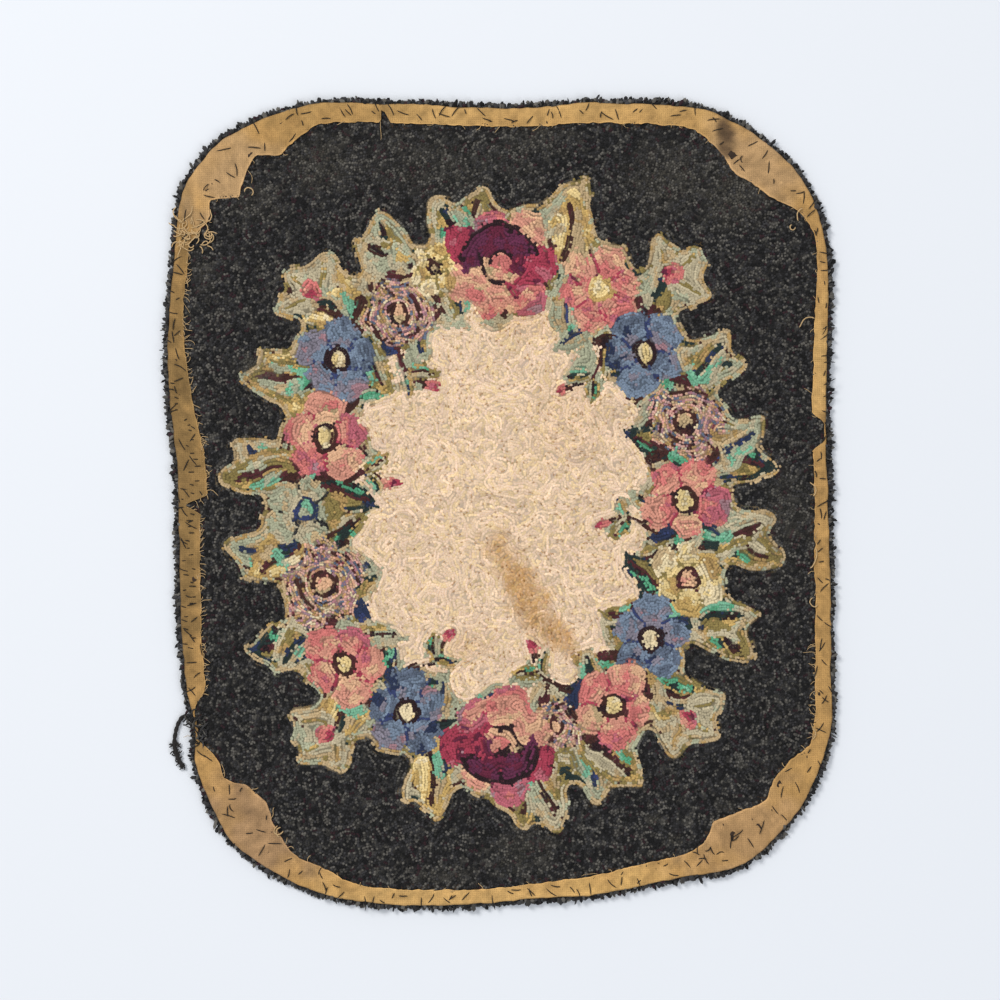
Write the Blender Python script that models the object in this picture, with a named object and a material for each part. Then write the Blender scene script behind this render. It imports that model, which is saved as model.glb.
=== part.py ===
"""An old hooked rug lying flat with its back up, and one yarn that has worked loose from its edge.

Metres, +Z up. The origin is on the floor under the middle of the rug. The pile lies on the floor,
the foundation cloth lies on the pile, and the cloth's own margin is turned over the edge onto the
back and tacked down there. +X runs to the right and +Y to the top of the figured design as seen
from above.
"""
import math
from collections import namedtuple

import bmesh
import bpy
from mathutils import Vector

MM = 0.001

# Heights above the floor.
PILE_WIDEST = 3.0 * MM      # where the outermost loops bulge furthest out
PILE_TOP = 6.4 * MM         # the pile ends here and the foundation cloth starts
BACK_LEVEL = 7.7 * MM       # top of the flat stitches on the back
HEM_UNDER = 8.2 * MM        # underside of the turned margin, clear of the back
HEM_FOLD = 8.7 * MM         # outermost point of the fold
HEM_TOP = 9.4 * MM          # top of the turned margin

# Distances in from the outermost loops.
FOOT_INSET = 2.0 * MM       # edge of the flat face that rests on the floor
PILE_TOP_INSET = 2.4 * MM
FOLD_INSET = 3.0 * MM
HEM_TOP_INSET = 4.2 * MM
SLOT_INSET = 5.2 * MM       # depth to which the slot under the turned margin runs

# Evenness of the cloth.
STATIONS = 288              # sections round the edge
NORMAL_SPAN = 5             # stations on each side that settle which way is inward
EDGE_WAVES = (("long", 11, 0.9 * MM), ("middle", 23, 0.5 * MM), ("short", 47, 0.3 * MM))
PUCKER_COUNT = 66           # tacking stitches that pull the margin down
PUCKER_DEPTH = 0.25 * MM
BACK_RINGS = (0.82, 0.52)   # shares of the half size at which the back has rings of points
BACK_UNEVENNESS = 0.35 * MM
BACK_LOBES = 5

# The loose yarn.
YARN_RADIUS = 2.0 * MM
YARN_CLEARANCE = 0.1 * MM   # between the yarn and the floor
YARN_POINTS = 11

# The outermost loops, in millimetres, anticlockwise from the middle of the right side.
Edge = namedtuple("Edge", "place x y")
EDGE = (
    Edge("right", 341, 0),
    Edge("right upper", 339, 120),
    Edge("right shoulder", 341, 215),
    Edge("top right, lower", 336, 278),
    Edge("top right corner", 321, 324),
    Edge("top right, arch", 294, 358),
    Edge("top right, upper", 249, 392),
    Edge("top right shoulder", 192, 412),
    Edge("top, right half", 100, 416),
    Edge("top", 0, 411),
    Edge("top, left half", -100, 415),
    Edge("top left shoulder", -190, 415),
    Edge("top left, upper", -262, 392),
    Edge("top left corner", -304, 362),
    Edge("top left, lower", -332, 316),
    Edge("left shoulder", -342, 225),
    Edge("left upper", -345, 125),
    Edge("left", -336, 20),
    Edge("left lower", -333, -110),
    Edge("above the tear", -326, -195),
    Edge("tear", -318, -232),
    Edge("below the tear", -317, -266),
    Edge("bottom left, lower", -305, -303),
    Edge("bottom left corner", -284, -343),
    Edge("bottom left, arch", -243, -377),
    Edge("bottom left shoulder", -194, -402),
    Edge("bottom, left half", -120, -416),
    Edge("bottom", 0, -413),
    Edge("bottom, right half", 90, -406),
    Edge("bottom dip", 190, -387),
    Edge("bottom right shoulder", 245, -377),
    Edge("bottom right corner", 288, -343),
    Edge("bottom right, lower", 325, -290),
    Edge("right foot", 343, -225),
    Edge("right lower", 343, -110),
)

# How far the turned margin reaches in from the outermost loops, in millimetres, by heading in
# degrees. The square corners of the cloth make wide flaps, and two stretches have lost their hem.
Turn = namedtuple("Turn", "place heading width")
HEM = (
    Turn("right", 0, 18),
    Turn("right, below the lost stretch", 9.6, 18),
    Turn("lost stretch starts", 10.2, 6),
    Turn("lost stretch ends", 14.2, 6),
    Turn("right, above the lost stretch", 14.8, 18),
    Turn("right shoulder", 31, 17),
    Turn("top right flap starts", 40, 13),
    Turn("top right flap, step", 43, 21),
    Turn("top right flap, lower", 47, 41),
    Turn("top right flap, middle", 51, 44),
    Turn("top right flap, widest", 55, 49),
    Turn("top right flap, upper", 58.5, 36),
    Turn("top right flap ends", 64, 25),
    Turn("top", 88, 23),
    Turn("top left flap starts", 115, 24),
    Turn("top left flap, point", 121.5, 46),
    Turn("top left flap, hollow", 124.5, 35),
    Turn("top left flap, middle", 128.5, 49),
    Turn("top left flap, widest", 132.5, 58),
    Turn("top left flap, step", 135.5, 33),
    Turn("top left flap, lower", 138, 37),
    Turn("top left flap ends", 141.5, 18),
    Turn("left shoulder", 150, 17),
    Turn("left upper", 163, 27),
    Turn("left, widest", 171, 33),
    Turn("left, above the cut", 179.4, 33),
    Turn("left, cut", 180.3, 9),
    Turn("left, below the cut", 181.2, 26),
    Turn("left lower", 198, 25),
    Turn("above the tear", 211, 23),
    Turn("tear starts", 213.2, 6),
    Turn("tear ends", 217.6, 6),
    Turn("bottom left flap starts", 220, 27),
    Turn("bottom left flap, notch", 223.4, 28),
    Turn("bottom left flap, lower", 225.7, 48),
    Turn("bottom left flap, widest", 230.3, 57),
    Turn("bottom left flap, upper", 235.7, 41),
    Turn("bottom left flap ends", 239.5, 30),
    Turn("bottom left shoulder", 244, 30),
    Turn("bottom, left half", 250, 21),
    Turn("bottom", 270, 18),
    Turn("bottom, right half", 284, 23),
    Turn("bottom right flap starts", 297, 27),
    Turn("bottom right flap, edge", 299.5, 34),
    Turn("bottom right flap, widest", 302.5, 58),
    Turn("bottom right flap, middle", 308, 50),
    Turn("bottom right flap, step", 312.5, 36),
    Turn("bottom right flap, upper", 316, 42),
    Turn("bottom right flap, second step", 320, 36),
    Turn("bottom right flap ends", 323.5, 21),
    Turn("right foot", 330, 20),
)

# The loose yarn's route over the floor, in millimetres: out of the tear, down and back.
Route = namedtuple("Route", "x y")
YARN_ROUTE = (
    Route(-322.8, -217.6),
    Route(-327.5, -219.6),
    Route(-331.8, -226.5),
    Route(-334.5, -236.0),
    Route(-335.6, -246.0),
    Route(-334.0, -256.0),
    Route(-330.4, -264.4),
    Route(-326.2, -271.0),
)


def clear_scene():
    for thing in list(bpy.data.objects):
        bpy.data.objects.remove(thing, do_unlink=True)


def cloth_material(name, colour, roughness):
    material = bpy.data.materials.new(name)
    material.use_nodes = True
    shader = material.node_tree.nodes["Principled BSDF"]
    shader.inputs["Base Color"].default_value = (*colour, 1.0)
    shader.inputs["Roughness"].default_value = roughness
    shader.inputs["Metallic"].default_value = 0.0
    return material


def eased(before, start, end, after, share):
    """A point at share of the way from start to end, on the smooth curve through all four."""
    square = share * share
    cube = square * share
    return 0.5 * (
        2.0 * start
        + (end - before) * share
        + (2.0 * before - 5.0 * start + 4.0 * end - after) * square
        + (3.0 * start - before - 3.0 * end + after) * cube
    )


def edge_curve():
    """A dense closed curve through the EDGE table, in metres."""
    knots = [Vector((row.x * MM, row.y * MM)) for row in EDGE]
    steps = 40
    curve = []
    for i in range(len(knots)):
        around = [knots[(i + k) % len(knots)] for k in (-1, 0, 1, 2)]
        curve += [eased(*around, step / steps) for step in range(steps)]
    return curve


def even_stations(curve, count):
    """Points at equal distances along a closed curve."""
    lengths = [(curve[(i + 1) % len(curve)] - curve[i]).length for i in range(len(curve))]
    pitch = sum(lengths) / count
    stations = []
    travelled = 0.0
    for i, length in enumerate(lengths):
        while len(stations) * pitch < travelled + length and len(stations) < count:
            share = (len(stations) * pitch - travelled) / length
            stations.append(curve[i].lerp(curve[(i + 1) % len(curve)], share))
        travelled += length
    return stations


def inward_directions(stations):
    """The way in from each station, square to a chord of the edge round it."""
    count = len(stations)
    directions = []
    for i in range(count):
        chord = stations[(i + NORMAL_SPAN) % count] - stations[(i - NORMAL_SPAN) % count]
        directions.append(Vector((-chord.y, chord.x)).normalized())
    return directions


def edge_wave(turn):
    """The hand-drawn edge wanders a little: how far in it is at a share of the way round."""
    return sum(
        depth * (1.0 + math.sin(2.0 * math.pi * count * turn + count)) / 2.0
        for _, count, depth in EDGE_WAVES
    )


def hem_width(point):
    """The turned margin's reach at the heading of a point of the edge, in metres."""
    heading = math.degrees(math.atan2(point.y, point.x)) % 360.0
    rows = list(HEM) + [HEM[0]._replace(heading=360.0)]
    for row, following in zip(rows, rows[1:]):
        if heading <= following.heading:
            share = (heading - row.heading) / (following.heading - row.heading)
            return (row.width + (following.width - row.width) * share) * MM
    return HEM[0].width * MM


def section(turn, width):
    """The edge's profile as (inset, height), from the foot round the fold to the slot's root."""
    pucker = PUCKER_DEPTH * (1.0 + math.cos(2.0 * math.pi * PUCKER_COUNT * turn)) / 2.0
    return (
        (FOOT_INSET, 0.0),
        (0.0, PILE_WIDEST),
        (PILE_TOP_INSET, PILE_TOP),
        (FOLD_INSET, HEM_FOLD),
        (HEM_TOP_INSET, HEM_TOP),
        (width, HEM_TOP - pucker),
        (width, HEM_UNDER),
        (SLOT_INSET, HEM_UNDER),
        (SLOT_INSET, BACK_LEVEL),
    )


def back_ring(mesh, rim, share):
    """A ring of points on the back, a share of the rim's size, that rises and falls a little."""
    ring = []
    for i, vertex in enumerate(rim):
        lobe = math.sin(2.0 * math.pi * BACK_LOBES * i / len(rim) + 9.0 * share)
        height = BACK_LEVEL + BACK_UNEVENNESS * lobe
        ring.append(mesh.verts.new((vertex.co.x * share, vertex.co.y * share, height)))
    return ring


def join_rings(mesh, outer, inner):
    count = len(outer)
    for i in range(count):
        following = (i + 1) % count
        mesh.faces.new((outer[i], outer[following], inner[following], inner[i]))


def edge_stations():
    """Stations round the edge with the way in at each, centred on their own box."""
    stations = even_stations(edge_curve(), STATIONS)
    inward = inward_directions(stations)
    stations = [
        point + way * edge_wave(i / STATIONS)
        for i, (point, way) in enumerate(zip(stations, inward))
    ]
    middle = Vector((
        (min(p.x for p in stations) + max(p.x for p in stations)) / 2.0,
        (min(p.y for p in stations) + max(p.y for p in stations)) / 2.0,
    ))
    return [point - middle for point in stations], inward, middle


def build_rug(stations, inward):
    mesh = bmesh.new()
    profiles = [
        section(i / STATIONS, hem_width(point)) for i, point in enumerate(stations)
    ]
    rings = []
    for level in range(len(profiles[0])):
        ring = []
        for point, way, profile in zip(stations, inward, profiles):
            inset, height = profile[level]
            spot = point + way * inset
            ring.append(mesh.verts.new((spot.x, spot.y, height)))
        rings.append(ring)
    rings += [back_ring(mesh, rings[-1], share) for share in BACK_RINGS]
    for outer, inner in zip(rings, rings[1:]):
        join_rings(mesh, outer, inner)
    mesh.faces.new(list(reversed(rings[0])))
    mesh.faces.new(rings[-1])
    bmesh.ops.triangulate(mesh, faces=mesh.faces[:])
    bmesh.ops.recalc_face_normals(mesh, faces=mesh.faces[:])
    data = bpy.data.meshes.new("rug")
    mesh.to_mesh(data)
    mesh.free()
    data.shade_smooth()
    data.set_sharp_from_angle(angle=math.radians(35.0))
    rug = bpy.data.objects.new("rug", data)
    bpy.context.collection.objects.link(rug)
    rug.data.materials.append(cloth_material("charcoal_wool", (0.022, 0.020, 0.020), 0.9))
    return rug


def yarn_curve(middle):
    """Points along a smooth curve through the loose yarn's route, in metres."""
    knots = [Vector((row.x * MM, row.y * MM)) - middle for row in YARN_ROUTE]
    first = knots[0] * 2.0 - knots[1]
    last = knots[-1] * 2.0 - knots[-2]
    knots = [first] + knots + [last]
    spans = len(knots) - 3
    points = []
    for i in range(YARN_POINTS):
        along = i / (YARN_POINTS - 1) * spans
        span = min(int(along), spans - 1)
        points.append(eased(*knots[span:span + 4], along - span))
    return points


def build_loose_yarn(middle):
    curve = bpy.data.curves.new("loose_yarn", "CURVE")
    curve.dimensions = "3D"
    curve.bevel_depth = YARN_RADIUS
    curve.bevel_resolution = 2
    curve.use_fill_caps = True
    points = yarn_curve(middle)
    spline = curve.splines.new("POLY")
    spline.points.add(len(points) - 1)
    for place, point in zip(spline.points, points):
        place.co = (point.x, point.y, YARN_RADIUS + YARN_CLEARANCE, 1.0)
    yarn = bpy.data.objects.new("loose_yarn", curve)
    bpy.context.collection.objects.link(yarn)
    yarn.data.materials.append(cloth_material("black_wool_yarn", (0.012, 0.014, 0.014), 0.85))
    return yarn


def main():
    clear_scene()
    stations, inward, middle = edge_stations()
    build_rug(stations, inward)
    build_loose_yarn(middle)


main()
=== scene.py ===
# %% [markdown]
# # An old hooked rug, lying with its back up
# A hooked rug is made by pulling loops of yarn or rag strip up through the holes of a coarse
# cloth, one hole after another. The loops make the pile on the face. On the back each loop
# leaves one short flat stitch, so the whole picture shows there too, mirrored and crisper. This
# rug lies on its pile: what shows is the back, with the cloth's own margin turned over the edge.
#
# The solid model fixes the outline, the thickness and the width of the turned margin. What makes
# it a textile is added here: the cloth, every stitch and loop, the sewing and the frays.

# %% Load the frame
import math
from collections import namedtuple

import bpy
import numpy as np
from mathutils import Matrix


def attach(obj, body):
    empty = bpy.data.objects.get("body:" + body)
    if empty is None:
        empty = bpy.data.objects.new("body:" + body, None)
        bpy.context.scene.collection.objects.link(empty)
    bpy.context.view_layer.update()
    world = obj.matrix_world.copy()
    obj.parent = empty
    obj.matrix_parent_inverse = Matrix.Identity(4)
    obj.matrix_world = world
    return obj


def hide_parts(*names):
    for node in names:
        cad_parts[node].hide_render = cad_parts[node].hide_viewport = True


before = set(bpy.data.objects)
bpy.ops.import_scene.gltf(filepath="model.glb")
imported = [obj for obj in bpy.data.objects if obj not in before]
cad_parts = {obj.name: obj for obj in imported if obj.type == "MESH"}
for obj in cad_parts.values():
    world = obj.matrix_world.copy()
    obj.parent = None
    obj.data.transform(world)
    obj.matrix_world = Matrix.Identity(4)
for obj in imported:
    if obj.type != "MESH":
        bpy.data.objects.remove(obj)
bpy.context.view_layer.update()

MM = 0.001
LOWEST = 0.05            # the least height above the floor, in millimetres
print("nodes", sorted(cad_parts))

# %% [markdown]
# ## Camera, floor and light
# The camera looks straight down through a long lens, so the rows of stitches stay square to the
# view and the outline isn't stretched towards the corners. The main lamp is broad and stands off
# to the upper left: a soft light from one side gives every small stitch a bright and a dark
# flank, which is what tells wool from print. A weaker lamp and the pale sky fill the shadows.

# %% Camera, floor and light
LENS = 85.0              # millimetres, on a sensor 36 mm wide
VIEW_WIDTH = 1.03        # metres of floor across the picture
FRAMING = 0.004          # the view's middle lies this far above the rug's middle

camera_data = bpy.data.cameras.new("camera")
camera_data.lens = LENS
camera_data.sensor_width = 36.0
camera = bpy.data.objects.new("camera", camera_data)
camera.location = (0.0, FRAMING, VIEW_WIDTH * LENS / camera_data.sensor_width)
bpy.context.collection.objects.link(camera)
bpy.context.scene.camera = camera
bpy.context.scene.view_settings.view_transform = "Standard"


def lamp(name, place, size, watts, tint):
    """A square area lamp at a place, aimed at the rug's middle."""
    data = bpy.data.lights.new(name, "AREA")
    data.size = size
    data.energy = watts
    data.color = tint
    made = bpy.data.objects.new(name, data)
    made.location = place
    made.rotation_euler = (-made.location).to_track_quat("-Z", "Y").to_euler()
    bpy.context.collection.objects.link(made)


lamp("window", (-3.6, 3.4, 5.0), 2.4, 300.0, (1.0, 0.985, 0.96))
lamp("fill", (2.6, -3.0, 4.2), 3.4, 75.0, (0.95, 0.97, 1.0))

sky = bpy.data.worlds.new("pale_room")
sky.use_nodes = True
sky.node_tree.nodes["Background"].inputs["Color"].default_value = (0.93, 0.96, 1.0, 1.0)
sky.node_tree.nodes["Background"].inputs["Strength"].default_value = 0.55
bpy.context.scene.world = sky
print("camera height", round(camera.location.z, 3), "m")

# %% [markdown]
# ## Small tools
# A rug is tens of thousands of small like things. Each kind is built as one mesh from arrays:
# one small shape is set down many times, each copy with its own place, turn and size. That is
# fast and keeps the number of objects low. Colours ride along as a colour on every point, so
# one wool material serves all the dyes.

# %% Mesh tools
def linear(colour):
    """An sRGB hex colour as linear red, green and blue."""
    parts = np.array([int(colour[i:i + 2], 16) for i in (0, 2, 4)]) / 255.0
    return np.where(parts <= 0.04045, parts / 12.92, ((parts + 0.055) / 1.055) ** 2.4)


def node(tree, kind, values=(), **settings):
    """Adds a node. Settings are its properties, values its sockets' numbers or links."""
    made = tree.nodes.new("ShaderNode" + kind)
    for name, value in settings.items():
        setattr(made, name, value)
    for name, value in dict(values).items():
        if isinstance(value, bpy.types.NodeSocket):
            tree.links.new(value, made.inputs[name])
        else:
            made.inputs[name].default_value = value
    return made


def piece(name, points, faces, material, colours=None):
    """One mesh object that rides with the rug, from points in millimetres."""
    mesh = bpy.data.meshes.new(name)
    mesh.vertices.add(len(points))
    mesh.vertices.foreach_set("co", (points * MM).astype(np.float32).ravel())
    mesh.loops.add(faces.size)
    mesh.loops.foreach_set("vertex_index", faces.astype(np.int32).ravel())
    mesh.polygons.add(len(faces))
    starts = np.arange(0, faces.size, faces.shape[1], dtype=np.int32)
    mesh.polygons.foreach_set("loop_start", starts)
    mesh.update(calc_edges=True)
    mesh.shade_smooth()
    flat_map = mesh.uv_layers.new(name="OFBake")
    spread = points[faces.ravel()][:, :2] / 900.0 + 0.5
    flat_map.data.foreach_set("uv", spread.astype(np.float32).ravel())
    if colours is not None:
        # The colours on the points: the dyes, and in some pieces painted shade and highlight as
        # well.
        layer = mesh.color_attributes.new("dye", "FLOAT_COLOR", "POINT")
        rgba = np.c_[colours, np.ones(len(points))].astype(np.float32)
        layer.data.foreach_set("color", rgba.ravel())
    mesh.materials.append(material)
    made = bpy.data.objects.new(name, mesh)
    bpy.context.collection.objects.link(made)
    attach(made, "root")
    print(name, len(points), "points", len(faces) * (faces.shape[1] - 2), "triangles")
    return made


def scatter(shape, faces, place, turn, size):
    """Copies of a small shape, turned about the vertical. Returns all points and all faces."""
    local = shape[None, :, :] * size[:, None, :]
    cos = np.cos(turn)[:, None]
    sin = np.sin(turn)[:, None]
    x = local[..., 0] * cos - local[..., 1] * sin + place[:, :1]
    y = local[..., 0] * sin + local[..., 1] * cos + place[:, 1:2]
    z = local[..., 2] + place[:, 2:]
    first = len(shape) * np.arange(len(place))
    return np.stack([x, y, z], -1).reshape(-1, 3), (faces[None] + first[:, None, None]).reshape(
        -1, faces.shape[1])


def tubes(paths, radius, sides=3):
    """Threads as tubes with pinched ends, from paths (threads, points, 3) and their radii."""
    count, steps = paths.shape[:2]
    along = np.gradient(paths, axis=1)
    across = np.stack([-along[..., 1], along[..., 0], 0.0 * along[..., 0]], -1)
    across /= np.linalg.norm(across, axis=-1, keepdims=True) + 1e-9
    up = np.cross(along, across)
    up /= np.linalg.norm(up, axis=-1, keepdims=True) + 1e-9
    swell = np.minimum(1.0, 4.0 * np.sin(np.linspace(0.02, math.pi - 0.02, steps)) + 0.15)
    thick = (np.reshape(radius, (-1, 1)) * swell[None, :])[..., None, None]
    angle = 2.0 * math.pi * np.arange(sides) / sides
    ring = (across[:, :, None] * np.cos(angle)[:, None] + up[:, :, None] * np.sin(angle)[:, None])
    points = (paths[:, :, None] + thick * ring).reshape(-1, 3)
    t, s, k = np.meshgrid(np.arange(count), np.arange(steps - 1), np.arange(sides), indexing="ij")
    row = (t * steps + s) * sides
    beside = (k + 1) % sides
    faces = np.stack([row + k, row + beside, row + sides + beside, row + sides + k], -1)
    return points, faces.reshape(-1, 4)


LATTICE = 97             # the noise repeats after this many lumps


def cloud(x, y, grain, seed):
    """Smooth noise from -1 to 1, its lumps about grain millimetres across."""
    lattice = np.random.default_rng(seed).uniform(-1.0, 1.0, (LATTICE, LATTICE))
    u = np.asarray(x, float) / grain + 500.0
    v = np.asarray(y, float) / grain + 500.0
    i = np.floor(u).astype(int)
    j = np.floor(v).astype(int)
    fu = (u - i) ** 2 * (3.0 - 2.0 * (u - i))
    fv = (v - j) ** 2 * (3.0 - 2.0 * (v - j))
    left, right = i % LATTICE, (i + 1) % LATTICE
    below, above = j % LATTICE, (j + 1) % LATTICE
    low = lattice[below, left] * (1 - fu) + lattice[below, right] * fu
    high = lattice[above, left] * (1 - fu) + lattice[above, right] * fu
    return low * (1 - fv) + high * fv


def curve(points, steps):
    """A smooth path through a few points, at even steps along its length."""
    knots = np.array(points, float)
    knots = np.vstack([2 * knots[0] - knots[1], knots, 2 * knots[-1] - knots[-2]])
    t = np.linspace(0.0, 1.0, 12, endpoint=False)[:, None]
    parts = []
    for a, b, c, d in zip(knots, knots[1:], knots[2:], knots[3:]):
        bend = (2 * a - 5 * b + 4 * c - d) * t ** 2 + (3 * b - a - 3 * c + d) * t ** 3
        parts.append(0.5 * (2 * b + (c - a) * t + bend))
    path = np.vstack(parts + [knots[-2:-1]])
    run = np.concatenate([[0.0], np.cumsum(np.linalg.norm(np.diff(path, axis=0), axis=1))])
    even = np.linspace(0.0, run[-1], steps)
    return np.stack([np.interp(even, run, path[:, k]) for k in range(path.shape[1])], -1)


# %% [markdown]
# ## Wool, burlap and thread
# - **Wool yarn and rag, dyed at home**: short stiff fibres that scatter light, so it is very
#   rough, with a weak sheen along grazing edges. The dye comes from the colour on each point,
#   which also carries painted shade at the stitches' roots and in the gaps, and a fine noise
#   makes it uneven, as hand-dyed wool is.
# - **Burlap, old and brown**: jute in a plain weave, two crossed wave patterns for the threads,
#   with slubs from a noise. Its stains are in the point colours too, with painted shade along the
#   fold and on its hidden parts and a painted highlight along the cut edge.
# - **Cotton sewing thread**: nearly black, smoother than the wool, so it catches a thin light.
# - **Raw jute thread**: paler and hairy.

# %% Materials
def textile(name, roughness, sheen, grain, uneven, weave=None, colour=None):
    """A cloth or yarn finish. Grain is the size of its fuzz in mm, weave its thread pitch."""
    made = bpy.data.materials.new(name)
    made.use_nodes = True
    tree = made.node_tree
    shade = tree.nodes["Principled BSDF"]
    shade.inputs["Roughness"].default_value = roughness
    shade.inputs["Sheen Weight"].default_value = sheen
    shade.inputs["Sheen Roughness"].default_value = 0.5
    shade.inputs["IOR"].default_value = 1.54
    shade.inputs["Specular IOR Level"].default_value = 0.25
    where = node(tree, "TexCoord").outputs["Object"]
    fuzz = node(tree, "TexNoise", {"Vector": where, "Scale": 1.0 / (grain * MM), "Detail": 3.0})
    if colour is None:
        # The colours on the points, painted shade and highlight included.
        dye = node(tree, "VertexColor", layer_name="dye").outputs["Color"]
    else:
        dye = (*linear(colour), 1.0)
    tone = node(tree, "MapRange", {"Value": fuzz.outputs["Fac"], "From Min": 0.3, "From Max": 0.7,
                                   "To Min": 1.0 - uneven, "To Max": 1.0 + uneven})
    dyed = node(tree, "Mix", {6: dye, 7: tone.outputs["Result"], "Factor": 1.0},
                data_type="RGBA", blend_type="MULTIPLY")
    relief = fuzz.outputs["Fac"]
    if weave:
        lines = [node(tree, "TexWave", {"Vector": where, "Scale": 0.314 / (weave * MM),
                                        "Distortion": 3.2, "Detail": 2.0, "Detail Scale": 0.6},
                      bands_direction=way).outputs["Fac"] for way in "XY"]
        cross = node(tree, "Math", {0: lines[0], 1: lines[1]}, operation="MAXIMUM")
        relief = node(tree, "Math", {0: cross.outputs[0], 1: relief}, operation="ADD").outputs[0]
        dark = node(tree, "MapRange", {"Value": cross.outputs[0], "To Min": 0.84, "To Max": 1.08})
        dyed = node(tree, "Mix", {6: dyed.outputs[2], 7: dark.outputs["Result"], "Factor": 1.0},
                    data_type="RGBA", blend_type="MULTIPLY")
    tree.links.new(dyed.outputs[2], shade.inputs["Base Color"])
    bump = node(tree, "Bump", {"Height": relief, "Strength": 0.5, "Distance": 0.3 * MM})
    tree.links.new(bump.outputs["Normal"], shade.inputs["Normal"])
    return made


wool = textile("hand_dyed_wool_yarn", 0.92, 0.12, 0.9, 0.16)
# Its threads are 1.25 mm apart, too fine to show at this distance, so they are drawn wider.
burlap = textile("old_brown_burlap", 0.95, 0.05, 1.1, 0.18, weave=2.0)
cotton = textile("black_cotton_sewing_thread", 0.7, 0.05, 0.6, 0.1, colour="1b1714")
jute = textile("raw_jute_thread", 0.9, 0.15, 0.7, 0.2, colour="c8a878")
print("materials", [made.name for made in bpy.data.materials if made.users])

# %% [markdown]
# ## The loose yarn
# The torn edge has let one black yarn go. It is two strands twisted together, so its section
# isn't round but a soft figure of eight that turns along the length. The route repeats the one
# in the solid model, where it keeps clear of the rug's side.

# %% The loose yarn
YARN_ROUTE = ((-322.3, -217.6), (-327.0, -219.6), (-331.3, -226.5), (-334.0, -236.0),
              (-335.1, -246.0), (-333.5, -256.0), (-329.9, -264.4), (-325.7, -271.0))
YARN_RADIUS = 2.0
YARN_HEIGHT = 2.1        # of its middle above the floor
YARN_TURN = 13.0         # millimetres of yarn to one turn of its twist
YARN_DYE = "262322"
YARN_STEPS = 90
YARN_SIDES = 14

way = curve([(x, y, YARN_HEIGHT) for x, y in YARN_ROUTE], YARN_STEPS)
run = np.concatenate([[0.0], np.cumsum(np.linalg.norm(np.diff(way, axis=0), axis=1))])
ahead = np.gradient(way, axis=0)
aside = np.stack([-ahead[:, 1], ahead[:, 0], 0 * run], -1)
aside /= np.linalg.norm(aside, axis=1, keepdims=True)
round_it = 2.0 * math.pi * np.arange(YARN_SIDES) / YARN_SIDES
twist = 2.0 * math.pi * run / YARN_TURN
swell = 1.0 + 0.15 * np.cos(2.0 * (round_it[None, :] - twist[:, None]))
swell += 0.05 * cloud(run[:, None] * 3.0, round_it[None, :] * 2.0, 1.2, 3)
swell *= np.minimum(1.0, 0.55 + (run[-1] - run) / 4.0)[:, None]
sideways = (YARN_RADIUS * swell * np.cos(round_it))[..., None] * aside[:, None, :]
upwards = (YARN_RADIUS * swell * np.sin(round_it))[..., None] * np.array([0.0, 0.0, 1.0])
skin = (way[:, None] + sideways + upwards).reshape(-1, 3)
skin[:, 2] = np.maximum(skin[:, 2], LOWEST)
s, k = np.meshgrid(np.arange(YARN_STEPS - 1), np.arange(YARN_SIDES), indexing="ij")
side = np.stack([s * YARN_SIDES + k, s * YARN_SIDES + (k + 1) % YARN_SIDES,
                 (s + 1) * YARN_SIDES + (k + 1) % YARN_SIDES, (s + 1) * YARN_SIDES + k], -1)
yarn_dye = np.tile(linear(YARN_DYE), (len(skin), 1))
loose_yarn = piece("loose_yarn_two_ply", skin, side.reshape(-1, 4), wool, yarn_dye)
print("loose yarn length", round(run[-1], 1), "mm")

# %% [markdown]
# ## The outline, read from the solid
# The solid's edge is a stack of rings, each at its own height. The ring at the widest pile is
# the rug's outline, and the rings under the turned margin hold its cut edge. Both are kept as
# a reach from the middle for each heading: that answers "is this spot under the hem?" at once.

# %% Rings of the solid
PILE_WIDEST = 3.0        # height of the widest loops above the floor, in millimetres
HEM_UNDER = 8.2          # height of the turned margin's underside
SLOT_DEPTH = 5.6         # points further in than this at HEM_UNDER belong to the cut edge

solid = np.array([vertex.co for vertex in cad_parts["rug"].data.vertices]) / MM


def ring_at(height):
    return solid[np.abs(solid[:, 2] - height) < 0.02][:, :2]


def reach_table(points):
    """Headings in order and the reach at each, wrapped past both ends."""
    heading = np.arctan2(points[:, 1], points[:, 0])
    order = np.argsort(heading)
    turn = 2.0 * math.pi
    wrapped = np.concatenate([heading[order] - turn, heading[order], heading[order] + turn])
    return wrapped, np.tile(np.hypot(points[order, 0], points[order, 1]), 3)


edge_ring = ring_at(PILE_WIDEST)
under_hem = ring_at(HEM_UNDER)
gaps = np.linalg.norm(under_hem[:, None, :] - edge_ring[None, :, :], axis=-1).min(axis=1)
EDGE = reach_table(edge_ring)
CUT = reach_table(under_hem[gaps > SLOT_DEPTH])


def reach(table, x, y):
    return np.interp(np.arctan2(y, x), *table)


print("edge points", len(edge_ring), "cut edge points", int((gaps > SLOT_DEPTH).sum()))

# %% [markdown]
# ## The dyes
# Old hooked rugs were made from what the house had: worn stockings, suiting and blankets, some
# dyed over again. So each colour is a little broken. A tweed is a rag woven of several colours,
# and its stitches come out one pink, one cream, one navy.

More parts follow.
